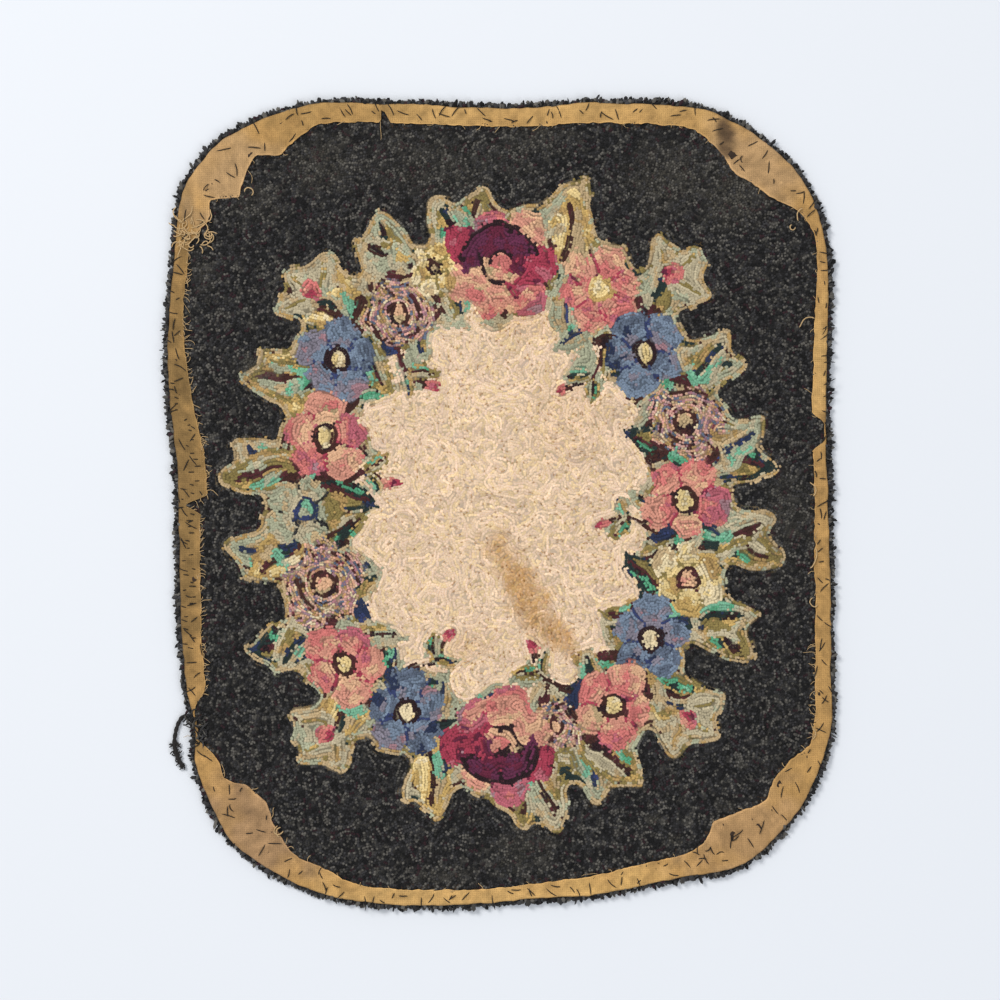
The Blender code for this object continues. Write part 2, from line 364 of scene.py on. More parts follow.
# %% Dyes
DYES = {
    "black": "2f2e2f", "soot": "524f4a", "coal": "161516", "cream": "e6cdb1", "cream_pink": "e5cbb4",
    "cream_gold": "e4cba3", "stain": "bf9257", "halo": "bda47c", "tan": "b3925c",
    "linen": "bdb091",
    "coral": "cf7771", "salmon": "d4947f", "peach": "dfb18c", "rose": "b96470",
    "crimson": "a63c50", "burgundy": "66223a", "plum": "632a47", "wine": "2f1a20",
    "navy": "28324e", "royal": "353f68", "slate": "5f6a7c", "steel": "78879a",
    "lavender": "857f8b", "mint": "79b292", "green": "58a07a", "sage": "a9aa8e",
    "olive": "8b7a47", "gold": "c3a262", "pine": "22302e", "brown": "42241f",
    "maroon": "502529", "straw": "e3c98d", "ivory": "e6d3aa", "blush": "d9a998",
    "mauve": "a27b82", "dust": "625d52",
}
MIXES = {
    "tweed": ("blush", "tan", "ivory", "blush", "mauve", "slate", "brown", "peach", "halo"),
    "field": ("black",) * 8 + ("soot",) * 5 + ("coal",) * 6 + ("wine", "soot"),
    "ground": ("cream",) * 9 + ("cream_pink",) * 4 + ("cream_gold",) * 4,
    "fringe": ("halo", "halo", "halo", "tan"),
}
KIN = {
    "coral": ("salmon", "rose"), "salmon": ("peach", "coral"), "peach": ("salmon", "halo"),
    "rose": ("coral", "mauve"), "crimson": ("rose", "burgundy"), "burgundy": ("plum", "crimson"),
    "plum": ("burgundy", "wine"), "navy": ("royal", "pine"), "slate": ("steel", "navy"),
    "steel": ("slate", "lavender"), "lavender": ("steel", "mauve"), "mint": ("sage", "green"),
    "green": ("mint", "pine"), "sage": ("linen", "halo"), "linen": ("halo", "sage"),
    "olive": ("tan", "gold"),
    "pine": ("navy", "wine"), "brown": ("maroon", "wine"), "maroon": ("brown", "wine"),
    "gold": ("tan", "straw"), "straw": ("ivory", "ivory"), "ivory": ("straw", "halo"),
    "halo": ("tan", "sage"),
}
NAMES = tuple(DYES) + tuple(MIXES)
NUMBER = {name: number for number, name in enumerate(NAMES)}
LINEAR = np.array([linear(DYES[name]) for name in DYES])
print(len(DYES), "dyes", len(MIXES), "mixes")

# %% [markdown]
# ## The drawing
# The maker drew flowers on the cloth and hooked them as drawn, freely. The drawing here is a
# sheet of one-millimetre cells that holds a dye's number in each cell. Shapes are laid on it in
# order. The sheet's own coordinates are pushed about by a slow noise first, so every outline
# comes out wavering, as a line followed with a hook does.

# %% The drawing sheet
SHEET_HALF_WIDE = 352    # cells from the sheet's middle to its side
SHEET_HALF_TALL = 424    # cells from its middle to its top

sheet_x, sheet_y = np.meshgrid(np.arange(-SHEET_HALF_WIDE, SHEET_HALF_WIDE + 1.0),
                               np.arange(-SHEET_HALF_TALL, SHEET_HALF_TALL + 1.0))
HAND_X = sheet_x + 2.6 * cloud(sheet_x, sheet_y, 17, 1) + 2.2 * cloud(sheet_x, sheet_y, 6, 2)
HAND_Y = sheet_y + 2.6 * cloud(sheet_x, sheet_y, 17, 4) + 2.2 * cloud(sheet_x, sheet_y, 6, 5)
HAND_X += 1.3 * cloud(sheet_x, sheet_y, 3.4, 12)
HAND_Y += 1.3 * cloud(sheet_x, sheet_y, 3.4, 13)
BROKEN = cloud(sheet_x, sheet_y, 5, 6) + 0.5 * cloud(sheet_x, sheet_y, 2.5, 7)
PATCHES = cloud(sheet_x, sheet_y, 10, 9) + 0.25 * cloud(sheet_x, sheet_y, 3.5, 10)
drawing = np.full(sheet_x.shape, NUMBER["field"], np.int16)
drawn = np.zeros(sheet_x.shape, bool)

Dab = namedtuple("Dab", "dye x y long wide turn")              # an oval of one dye
Leaf = namedtuple("Leaf", "dye vein x y tip_x tip_y wide")     # pointed, from stalk to tip
Stroke = namedtuple("Stroke", "dye wide path")                 # a line through some places
Arc = namedtuple("Arc", "dye x y radius wide start sweep")     # part of a ring, in degrees
Blossom = namedtuple("Blossom", "x y across turn petals seam ring eye")


def near(x, y, size):
    """The sheet's cells within a size of a place, and where the hand puts them from it."""
    rows = slice(max(0, int(y - size) + SHEET_HALF_TALL), int(y + size) + SHEET_HALF_TALL + 2)
    columns = slice(max(0, int(x - size) + SHEET_HALF_WIDE), int(x + size) + SHEET_HALF_WIDE + 2)
    cells = (rows, columns)
    return cells, HAND_X[cells] - x, HAND_Y[cells] - y


def fill(cells, inside, dye):
    """One dye, with patches of its kin: the next rag in the basket was never quite the same."""
    drawing[cells][inside] = NUMBER[dye]
    if dye in KIN:
        patch = PATCHES[cells]
        drawing[cells][inside & (patch > 0.42)] = NUMBER[KIN[dye][0]]
        drawing[cells][inside & (patch < -0.5)] = NUMBER[KIN[dye][1]]
    drawn[cells][inside] = True


def turned(dx, dy, degrees):
    cos = math.cos(math.radians(degrees))
    sin = math.sin(math.radians(degrees))
    return dx * cos + dy * sin, dy * cos - dx * sin


def draw_dab(dab):
    cells, dx, dy = near(dab.x, dab.y, max(dab.long, dab.wide))
    u, v = turned(dx, dy, dab.turn)
    fill(cells, np.hypot(2 * u / dab.long, 2 * v / dab.wide) < 1.0, dab.dye)


def draw_leaf(leaf):
    length = math.hypot(leaf.tip_x - leaf.x, leaf.tip_y - leaf.y)
    heading = math.degrees(math.atan2(leaf.tip_y - leaf.y, leaf.tip_x - leaf.x))
    cells, dx, dy = near(leaf.x, leaf.y, length + 8)
    u, v = turned(dx, dy, heading)
    t = np.clip(u / length, 0.0, 1.0)
    belly = leaf.wide * 1.6 * t ** 0.65 * (1.0 - t)
    inside = (np.abs(v) < belly) & (u > 0) & (u < length)
    fill(cells, inside, leaf.dye)
    if leaf.vein:
        fill(cells, inside & (np.abs(v) < 1.9) & (t > 0.08) & (t < 0.8), leaf.vein)


def draw_stroke(stroke):
    path = curve(stroke.path, 24)
    middle = path.mean(axis=0)
    cells, dx, dy = near(*middle, np.linalg.norm(path - middle, axis=1).max() + stroke.wide)
    x = dx + middle[0]
    y = dy + middle[1]
    nearest = np.full(x.shape, 999.0)
    for (ax, ay), (bx, by) in zip(path, path[1:]):
        span = (bx - ax) ** 2 + (by - ay) ** 2 + 1e-9
        t = np.clip(((x - ax) * (bx - ax) + (y - ay) * (by - ay)) / span, 0.0, 1.0)
        nearest = np.minimum(nearest, np.hypot(x - ax - t * (bx - ax), y - ay - t * (by - ay)))
    fill(cells, nearest < stroke.wide / 2, stroke.dye)


def draw_arc(arc):
    cells, dx, dy = near(arc.x, arc.y, arc.radius + arc.wide)
    off = np.abs(np.hypot(dx, dy) - arc.radius)
    angle = (np.degrees(np.arctan2(dy, dx)) - arc.start) % 360.0
    fill(cells, (off < arc.wide / 2) & (angle < arc.sweep), arc.dye)


def draw_blossom(flower):
    """Lobed petals round a ring and an eye. A petal is one dye, or two as outer/inner."""
    radius = flower.across / 2
    count = len(flower.petals)
    cells, dx, dy = near(flower.x, flower.y, radius + 6)
    share = ((np.degrees(np.arctan2(dy, dx)) - flower.turn) / 360.0 * count + 0.5) % count
    from_middle = np.abs(share % 1.0 - 0.5) * 2.0
    far = np.hypot(dx, dy)
    uneven = 1.0 + 0.09 * np.sin(2.3 * np.floor(share) + flower.turn)
    lobe = radius * uneven * (1.04 - 0.24 * from_middle ** 2.2)
    for number, petal in enumerate(flower.petals):
        outer, _, inner = petal.partition("/")
        inside = (np.floor(share) == number) & (far < lobe)
        fill(cells, inside, outer)
        throat = far + 5.0 * BROKEN[cells] < 0.62 * radius
        fill(cells, inside & throat, inner or outer)
    gap = far * math.pi / count * (1.0 - from_middle)
    seam = (gap < 1.6) & (far < 0.93 * lobe) & (BROKEN[cells] > -0.35)
    fill(cells, seam, flower.seam)
    fill(cells, far < 0.33 * radius, flower.ring)
    fill(cells, np.hypot(dx * 1.1, dy * 0.9) < 0.2 * radius, flower.eye)


DRAW = {Dab: draw_dab, Leaf: draw_leaf, Stroke: draw_stroke, Arc: draw_arc,
        Blossom: draw_blossom}
print("drawing sheet", drawing.shape)

# %% [markdown]
# ## The wreath
# A ring of flowers, buds and leaves stands round an oval cream ground, with a cabbage rose at
# the head and another at the foot. The arrangement is composed afresh, by rules. Places are
# told as on a clock, at equal runs round an oval whose size is a share of the rug's own.

# %% Places round the ring
HALF_WIDTH = float(np.ptp(edge_ring[:, 0])) / 2
HALF_HEIGHT = float(np.ptp(edge_ring[:, 1])) / 2
RING_WIDE = 0.57 * HALF_WIDTH
RING_TALL = 0.60 * HALF_HEIGHT
hand = np.random.default_rng(41)

turns = np.linspace(0.0, 2.0 * math.pi, 721)
steps_round = np.hypot(np.diff(RING_WIDE * np.sin(turns)), np.diff(RING_TALL * np.cos(turns)))
run = np.concatenate([[0.0], np.cumsum(steps_round)])
hours = 12.0 * run / run[-1]


def on_ring(hour, out=0.0):
    """The place at an hour of the ring, so far outside it, and the heading that leads outward."""
    turn = float(np.interp(hour % 12.0, hours, turns))
    heading = math.atan2(math.cos(turn) / RING_TALL, math.sin(turn) / RING_WIDE)
    x = RING_WIDE * math.sin(turn) + out * math.cos(heading)
    y = RING_TALL * math.cos(turn) + out * math.sin(heading)
    return x, y, math.degrees(heading)


def beside(x, y, heading, along, left=0.0):
    """A place so far along a heading and so far to its left."""
    cos = math.cos(math.radians(heading))
    sin = math.sin(math.radians(heading))
    return x + along * cos - left * sin, y + along * sin + left * cos


print("ring", round(2 * RING_WIDE), "by", round(2 * RING_TALL), "mm, round it", round(run[-1]))

# %% [markdown]
# ## Leaves, buds and sprigs
# A leaf is a pointed shape in one rag. It has a flank of a second rag along one side. On the
# other half it has a stripe of a third rag, with a dark line near the middle. Each kind is a row
# of those four dyes. A bud is a small bright heart in three pointed sepals. A sprig is a thin
# dark stem that reaches in over the ground, with two leaves and a small bud.

# %% Leaves, buds and sprigs
LeafKind = namedtuple("LeafKind", "body flank stripe line")
LEAF_KINDS = (
    LeafKind("linen", "olive", "mint", "pine"),
    LeafKind("linen", "sage", "olive", "brown"),
    LeafKind("olive", "linen", "green", "brown"),
    LeafKind("sage", "halo", "mint", "navy"),
    LeafKind("pine", "olive", "green", "maroon"),
    LeafKind("sage", "olive", "linen", "pine"),
    LeafKind("olive", "sage", "mint", "maroon"),
    LeafKind("gold", "halo", "straw", "brown"),
)


def leaf(x, y, heading, length, wide, kind):
    side = int(hand.choice((-1, 1)))
    tip = beside(x, y, heading, length)
    flank_root = beside(x, y, heading, 0.15 * length, -0.17 * side * wide)
    flank_tip = beside(x, y, heading, 0.82 * length, -0.08 * side * wide)
    made = [Leaf(kind.body, None, x, y, *tip, wide),
            Leaf(kind.flank, None, *flank_root, *flank_tip, 0.42 * wide)]
    for dye, thick, left, start, end in ((kind.stripe, 0.19, 0.26, 0.28, 0.66),
                                         (kind.line, 0.15, 0.03, 0.12, 0.80)):
        path = tuple(beside(x, y, heading, u * length, side * wide * (left + 0.3 * (0.5 - u) ** 2))
                     for u in (start, (start + end) / 2, end))
        made.append(Stroke(dye, thick * wide, path))
    return made


def bud(x, y, heading, size):
    made = []
    for swing in (-62, 58, 4):
        tip = beside(x, y, heading + swing, size)
        made.append(Leaf("linen", "olive", x, y, *tip, 0.62 * size))
    heart = beside(x, y, heading, 0.22 * size)
    made.append(Dab("coral", *heart, 0.52 * size, 0.44 * size, heading))
    glint = beside(*heart, heading, -3.0, 4.0)
    made.append(Dab("crimson", *glint, 0.32 * size, 0.2 * size, heading))
    made.append(Stroke("pine", 6, (beside(x, y, heading, -14), beside(x, y, heading, -4, 5))))
    return made


def sprig(hour, length, bend):
    """A stem from the ring inward, with a pair of leaves and a small bud at its end."""
    x, y, outward = on_ring(hour, -34)
    inward = outward + 180
    middle = beside(x, y, inward, 0.5 * length, bend)
    end = beside(x, y, inward, length, 0.4 * bend)
    made = [Stroke("brown", 5, ((x, y), middle, end))]
    made += leaf(*middle, inward + 48, 32, 15, LEAF_KINDS[2])
    made += leaf(*middle, inward - 44, 28, 14, LEAF_KINDS[0])
    made.append(Dab("coral", *end, 14, 11, inward))
    made.append(Dab("crimson", *beside(*end, inward, 4.0), 8, 7, inward))
    return made


def scraps(hour):
    """Short ends of dark and bright rag, filled in between two flowers."""
    made = []
    for out, long, wide, dyes in ((-22, 30, 13, ("pine", "navy", "brown")),
                                  (-4, 24, 12, ("mint", "green", "sage")),
                                  (16, 32, 13, ("brown", "pine", "maroon")),
                                  (32, 22, 10, ("olive", "mint", "linen"))):
        x, y, outward = on_ring(hour + hand.uniform(-0.1, 0.1), out)
        bend = hand.uniform(-7, 7)
        slant = outward + hand.uniform(-75, 75)
        path = (beside(x, y, slant, -long / 2), beside(x, y, slant, 0, bend),
                beside(x, y, slant, long / 2))
        made.append(Stroke(str(hand.choice(dyes)), wide, path))
    return made


print(len(LEAF_KINDS), "kinds of leaf")

# %% [markdown]
# ## Flowers
# There are two sorts of flower. An open one has five or six lobed petals, an eye and a ring of
# another dye round it. Its kind lists some dyes, from which each petal takes one. A cabbage rose
# has seven outer petals and a heart of folds wrapped round each other. The folds are arcs that
# share one centre.

# %% Flowers
OpenKind = namedtuple("OpenKind", "petals count seam ring eye")
OPEN_KINDS = {
    "pink": OpenKind(("coral/salmon", "salmon/coral", "rose/coral", "salmon/peach"), 5,
                     "crimson", "brown", "straw"),
    "blue": OpenKind(("steel/slate", "slate/steel", "lavender/steel", "steel/lavender"), 5,
                     "royal", "wine", "ivory"),
    "salmon": OpenKind(("salmon/coral", "peach/salmon", "coral/salmon"), 6,
                       "crimson", "gold", "straw"),
    "gold": OpenKind(("straw/gold", "gold/straw", "ivory/straw"), 6, "olive", "brown", "peach"),
    "sage": OpenKind(("sage/linen", "linen/sage", "olive/sage"), 5, "black", "navy", "mint"),
    "tweed": OpenKind(("tweed",), 5, "tweed", "brown", "peach"),
}
Fold = namedtuple("Fold", "dye radius wide start sweep")        # sizes are shares of the rose
ROSE_FOLDS = (
    Fold("salmon", 0.72, 0.34, 200, 120), Fold("plum", 0.50, 0.36, 15, 185),
    Fold("peach", 0.46, 0.24, 190, 110), Fold("crimson", 0.52, 0.28, 290, 85),
    Fold("burgundy", 0.28, 0.28, 330, 200), Fold("peach", 0.26, 0.20, 165, 150),
    Fold("coral", 0.08, 0.20, 0, 359), Fold("wine", 0.68, 0.08, 10, 170),
    Fold("wine", 0.36, 0.07, 150, 140), Fold("wine", 0.17, 0.06, 40, 150),
)


def open_flower(kind, x, y, across, turn):
    petals = tuple(str(hand.choice(kind.petals)) for _ in range(kind.count))
    made = [Blossom(x, y, across, turn, petals, kind.seam, kind.ring, kind.eye)]
    if kind.petals == ("tweed",):
        for share, start in ((0.62, turn), (0.8, turn + 190)):
            made.append(Arc("brown", x, y, share * across / 2, 4, start % 360, 75))
    return made


def cabbage_rose(x, y, across, turn):
    petals = ("crimson/rose", "peach/salmon", "rose/coral", "crimson/rose",
              "salmon/peach", "coral/rose", "rose/salmon")
    made = [Blossom(x, y, across, turn, petals, "burgundy", "peach", "plum")]
    for fold in ROSE_FOLDS:
        made.append(Arc(fold.dye, x, y, fold.radius * across / 2, fold.wide * across / 2,
                        (fold.start + turn) % 360, fold.sweep))
    return made


print(len(OPEN_KINDS), "kinds of open flower and", len(ROSE_FOLDS), "folds in a rose")

# %% [markdown]
# ## Arranging the wreath
# The flowers stand at nearly even steps of the clock, and they lean in and out by turns so the
# ring isn't stiff. Between each two flowers leaves fan outward over the black and inward over
# the ground. Buds stand beyond the ring at its four corners. Flowers come last and lie on top.

# %% Arrange the wreath
Flower = namedtuple("Flower", "kind hour across")
FLOWERS = (
    Flower("rose", 0.00, 116), Flower("salmon", 0.90, 86), Flower("blue", 1.58, 84),
    Flower("tweed", 2.28, 80), Flower("pink", 2.96, 86), Flower("gold", 3.64, 72),
    Flower("blue", 4.26, 80), Flower("pink", 4.94, 84), Flower("tweed", 5.46, 54),
    Flower("rose", 6.00, 114), Flower("blue", 6.90, 84), Flower("pink", 7.58, 82),
    Flower("tweed", 8.28, 86), Flower("sage", 8.94, 74), Flower("pink", 9.60, 86),
    Flower("blue", 10.28, 82), Flower("tweed", 10.94, 72), Flower("gold", 11.42, 50),
)
BUD_HOURS = (1.25, 4.62, 7.24, 10.62)
Sprig = namedtuple("Sprig", "hour length bend")
SPRIGS = (Sprig(1.3, 62, 16), Sprig(3.3, 56, -14), Sprig(5.2, 60, 14), Sprig(7.2, 58, -16),
          Sprig(9.2, 48, 12), Sprig(10.7, 54, -14))
OUTWARD_LEAF = 92        # millimetres long, over the black
INWARD_LEAF = 68         # over the cream
BUD_OUT = 60             # from the ring to the foot of a bud
BUD_SIZE = 44

leaves = []
fillers = []
by_hour = sorted(FLOWERS, key=lambda flower: flower.hour)
for number, flower in enumerate(by_hour):
    following = by_hour[(number + 1) % len(by_hour)]
    gap = (following.hour - flower.hour) % 12.0
    for share, swing, size in ((0.35, -24, 1.0), (0.65, 20, 0.92)):
        hour = flower.hour + share * gap
        kind = LEAF_KINDS[int(hand.integers(0, len(LEAF_KINDS)))]
        x, y, outward = on_ring(hour, 6)
        length = OUTWARD_LEAF * size * hand.uniform(0.85, 1.08)
        leaves += leaf(x, y, outward + swing * hand.uniform(0.6, 1.6), length, 42, kind)
        kind = LEAF_KINDS[int(hand.integers(0, len(LEAF_KINDS) - 1))]
        x, y, outward = on_ring(hour, -6)
        length = INWARD_LEAF * size * hand.uniform(0.8, 1.1)
        leaves += leaf(x, y, outward + 180 + swing * hand.uniform(0.6, 1.5), length, 30, kind)
    fillers += scraps(flower.hour + 0.5 * gap)

buds = []
for hour in BUD_HOURS:
    buds += bud(*on_ring(hour, BUD_OUT), BUD_SIZE)
sprigs = []
for row in SPRIGS:
    sprigs += sprig(*row)
flowers = []
for number, flower in enumerate(by_hour):
    lean_out = 0.0 if flower.kind == "rose" else (10.0 if number % 2 else -8.0)
    lean_out += hand.uniform(-5.0, 5.0)
    x, y, outward = on_ring(flower.hour, lean_out)
    turn = float(hand.uniform(0, 360))
    if flower.kind == "rose":
        flowers += cabbage_rose(x, y, flower.across, outward - 90)
    else:
        flowers += open_flower(OPEN_KINDS[flower.kind], x, y, flower.across, turn)
WREATH = leaves + fillers + buds + sprigs + flowers
print(len(by_hour), "flowers", len(BUD_HOURS), "buds", len(leaves) // 4, "leaves")

# %% [markdown]
# ## Ground, filling and outline
# The cream ground is laid first, then the wreath. The small gaps between its shapes are filled
# with leaf colours, as the maker did with ends of yarn. On the dark side every motif is
# outlined with about two rows of a dull tan, so it stands off the black.

# %% Lay out the drawing
def disc_sum(mask, radius):
    """How many cells of a mask lie within a radius of each cell."""
    tall, wide = mask.shape
    y, x = np.meshgrid(np.fft.fftfreq(tall, 1 / tall), np.fft.fftfreq(wide, 1 / wide),
                       indexing="ij")
    disc = (np.hypot(x, y) <= radius).astype(float)
    return np.fft.irfft2(np.fft.rfft2(mask.astype(float)) * np.fft.rfft2(disc), s=mask.shape)


def grown(mask, radius):
    return disc_sum(mask, radius) > 0.5


GROUND_INSET = 44.0      # from the middle of the ring of flowers to the edge of the ground
GAP = 12                 # half of the widest gap that counts as part of the wreath
RIM = 4.5                # width of the tan outline
oval = (np.abs(HAND_X / (RING_WIDE - GROUND_INSET)) ** 2.4
        + np.abs(HAND_Y / (RING_TALL - GROUND_INSET)) ** 2.4) < 1.0
drawing[oval] = NUMBER["ground"]
for motif in WREATH:
    DRAW[type(motif)](motif)

# Growing the drawn part and then shrinking it as far closes its gaps up to twice GAP wide.
wreath = ~grown(~grown(drawn, GAP), GAP)
between = wreath & ~drawn & ~oval
leafage = cloud(sheet_x, sheet_y, 13, 8) + 0.3 * BROKEN
for low, dye in ((-9.0, "pine"), (-0.6, "olive"), (-0.25, "linen"), (0.15, "halo"),
                 (0.5, "brown"), (0.8, "sage")):
    drawing[between & (leafage > low)] = NUMBER[dye]
inside_gap = wreath & ~drawn & oval & (leafage > 0.3)
drawing[inside_gap] = NUMBER["sage"]
rim = grown(drawn | between, RIM) & ~drawn & ~between & ~oval
drawing[rim] = NUMBER["fringe"]
drawing[rim & (PATCHES > 0.5)] = NUMBER["sage"]
drawing[rim & (PATCHES < -0.6)] = NUMBER["olive"]
print("motifs", len(WREATH), "share drawn", round(float(wreath.mean()), 3))

# %% [markdown]
# ## Wear, dust and stains
# Decades on a floor leave grey dust in the black field and a tea-coloured spill on the cream.
# They lie over the dyes, so they are kept apart as two more sheets, each from 0 to 1.

# %% Dust and stains
Mark = namedtuple("Mark", "x y long wide turn strength")
DUST = (
    Mark(-188, 348, 60, 50, 0, 0.8), Mark(-245, 308, 40, 30, 30, 0.5),
    Mark(-306, 236, 20, 40, 0, 0.5), Mark(37, 377, 70, 30, 0, 0.7),
    Mark(169, 334, 80, 60, 0, 0.7), Mark(238, 315, 60, 50, 0, 0.8),
    Mark(-249, 141, 40, 30, 0, 0.8), Mark(297, -15, 50, 80, 0, 0.5),
    Mark(22, -355, 60, 36, 0, 0.6), Mark(-60, -382, 50, 16, 0, 0.6),
    Mark(-60, 350, 160, 60, 0, 0.45), Mark(234, -308, 16, 10, 0, 0.8),
    Mark(159, -324, 14, 8, 30, 0.8), Mark(182, -345, 16, 8, 0, 0.7),
)
SPILLS = (
    Mark(26, -90, 120, 34, 122, 0.9), Mark(0, -48, 46, 26, 110, 0.6),
    Mark(56, -132, 50, 30, 120, 0.8), Mark(20, 188, 70, 36, 0, 0.3),
    Mark(-40, -150, 60, 30, 30, 0.25), Mark(70, 90, 70, 90, 0, 0.15),
)


def spread(marks, seed):
    """Soft marks with broken edges, as one sheet from 0 to 1."""
    total = np.zeros(sheet_x.shape)
    edge = 0.3 * cloud(sheet_x, sheet_y, 12, seed) + 0.2 * cloud(sheet_x, sheet_y, 4, seed + 1)
    for mark in marks:
        u, v = turned(HAND_X - mark.x, HAND_Y - mark.y, mark.turn)
        far = np.hypot(2 * u / mark.long, 2 * v / mark.wide)
        total = np.maximum(total, mark.strength * np.clip(1.5 - far + edge, 0.0, 1.0))
    return total


dust = spread(DUST, 20)
spill = spread(SPILLS, 22)
print("dusty share", round(float((dust > 0.3).mean()), 3))

# %% [markdown]
# ## Which way the rows run
# A hooker outlines each shape first and then fills it with rows that echo the outline. In the
# open ground there is nothing to follow, so the rows wander in curls. Both come from one
# tensor at each cell: the drawing's colour edges make a strong one near the shapes, and a slow
# noise makes a weak one everywhere. Rows run along its flat direction.

# %% Directions of the rows
def blurred(sheet, radius):
    """A soft blur by a bell curve of that radius in millimetres."""
    tall, wide = sheet.shape
    y, x = np.meshgrid(np.fft.fftfreq(tall), np.fft.rfftfreq(wide), indexing="ij")
    bell = np.exp(-2.0 * (math.pi * radius) ** 2 * (x * x + y * y))
    return np.fft.irfft2(np.fft.rfft2(sheet) * bell, s=sheet.shape)


EDGE_PULL = 0.0006       # the squared slope of colour at which an edge pulls with strength 1
PULL_LIMIT = 0.15        # how soon a stronger edge stops pulling harder
WANDER_PULL = 0.4        # strength of the slow noise
BACKDROP = 0.75          # a pale tone beyond the rug, so that rows follow the outline too

MIX_TONES = np.array([np.mean([linear(DYES[dye]) for dye in MIXES[mix]], 0) for mix in MIXES])
tones = np.vstack([LINEAR, MIX_TONES]) ** 0.45
shown = tones[drawing]
within = np.hypot(sheet_x, sheet_y) < reach(EDGE, sheet_x, sheet_y)
shown[~within] = BACKDROP
pull = np.zeros((3,) + sheet_x.shape)
for channel in range(3):
    slope_y, slope_x = np.gradient(blurred(shown[..., channel], 1.6))
    pull += np.stack([slope_x * slope_x, slope_x * slope_y, slope_y * slope_y])
pull = np.stack([blurred(part, 3.0) for part in pull]) / EDGE_PULL
pull = pull / (1.0 + PULL_LIMIT * (pull[0] + pull[2]))
hills = cloud(sheet_x, sheet_y, 19, 30) + 0.5 * cloud(sheet_x, sheet_y, 8, 31)
slope_y, slope_x = np.gradient(blurred(hills, 2.0))
steep = slope_x ** 2 + slope_y ** 2 + 1e-6
pull += WANDER_PULL * np.stack([slope_x ** 2, slope_x * slope_y, slope_y ** 2]) / steep
pull = np.stack([blurred(part, 2.0) for part in pull])
GRAIN = 0.5 * np.arctan2(2 * pull[1], pull[0] - pull[2]) + math.pi / 2
print("row directions ready")

# %% [markdown]
# ## Hooking the rows
# Rows are walked over the cloth one at a time. A row keeps its distance from the rows beside
# it, ends where two others close in, and offers places for new rows on both sides. That is how
# the real thing is filled, so the rows branch, curl and stop in the same way.

# %% Rows of stitches
ROW_GAP = 2.6            # millimetres from row to row
STITCH = 2.6             # millimetres from loop to loop along a row
LONGEST = 60             # half steps each way before the strip ends and a new one starts
CELL = ROW_GAP           # side of the squares by which nearby places are looked up
ROW_INSET = 3.2          # from the rug's outline to the outermost row
WALK_LIMIT = (0.62 * ROW_GAP) ** 2
SEED_LIMIT = (0.86 * ROW_GAP) ** 2

grain_list = GRAIN.tolist()
allowed = np.hypot(sheet_x, sheet_y) < reach(EDGE, sheet_x, sheet_y) - ROW_INSET
allowed_list = allowed.tolist()
taken = {}
rows = []


def at(sheet, x, y):
    return sheet[int(y + SHEET_HALF_TALL + 0.5)][int(x + SHEET_HALF_WIDE + 0.5)]


def off_sheet(x, y):
    return not (abs(x) < SHEET_HALF_WIDE and abs(y) < SHEET_HALF_TALL)


def crowded(x, y, limit, row, index):
    """Whether a place is too near another row, or an older part of its own."""
    i = int(x // CELL)
    j = int(y // CELL)
    for a in (i - 1, i, i + 1):
        for b in (j - 1, j, j + 1):
            for px, py, other, place in taken.get((a, b), ()):
                if (px - x) ** 2 + (py - y) ** 2 < limit:
                    if other != row or abs(place - index) > 4:
                        return True
    return False


def walk(x, y, row, sign):
    """Half steps from a place along the grain until the way is blocked."""
    step = STITCH / 2
    found = []
    angle = None
    for number in range(1, LONGEST + 1):
        here = at(grain_list, x, y)
        if angle is None:
            angle = here if sign > 0 else here + math.pi
        turn = (here - angle + math.pi / 2) % math.pi - math.pi / 2
        angle += max(-0.5, min(0.5, turn))
        x += step * math.cos(angle)
        y += step * math.sin(angle)
        if off_sheet(x, y) or not at(allowed_list, x, y):
            break
        if crowded(x, y, WALK_LIMIT, row, sign * number):
            break
        found.append((x, y))
        taken.setdefault((int(x // CELL), int(y // CELL)), []).append((x, y, row, sign * number))
    return found


waiting = [(2.0, 3.0)]
spots = [(x, y) for x in range(-340, 341, 4) for y in range(-412, 413, 4)]
while waiting or spots:
    x, y = waiting.pop(0) if waiting else spots.pop()
    if off_sheet(x, y) or not at(allowed_list, x, y):
        continue
    if crowded(x, y, SEED_LIMIT, -1, 0):
        continue
    name = len(rows)
    taken.setdefault((int(x // CELL), int(y // CELL)), []).append((x, y, name, 0))
    ahead = walk(x, y, name, 1)
    behind = walk(x, y, name, -1)
    row = behind[::-1] + [(x, y)] + ahead
    if len(row) < 3:
        continue
    rows.append(row)
    for (ax, ay), (bx, by) in zip(row[::3], row[1::3]):
        dx = (bx - ax) * 2 * ROW_GAP / STITCH
        dy = (by - ay) * 2 * ROW_GAP / STITCH
        waiting.append((ax - dy, ay + dx))
        waiting.append((ax + dy, ay - dx))

stitches = []
for number, row in enumerate(rows):
    for a, b, c in zip(row[0:-1:2], row[1::2], row[2::2] + [row[-1]]):
        stitches.append((b[0], b[1], math.atan2(c[1] - a[1], c[0] - a[0]), number))
stitches = np.array(stitches)
print("rows", len(rows), "stitches", len(stitches))

# %% [markdown]
# ## The colour of each stitch
# A stitch takes the dye that the drawing has under it. Then three things break it up: each row
# is a new strip of rag, a little lighter or darker, each stitch catches the dye its own way,
# and soft blotches run over the whole. Dust and spills are mixed in last.

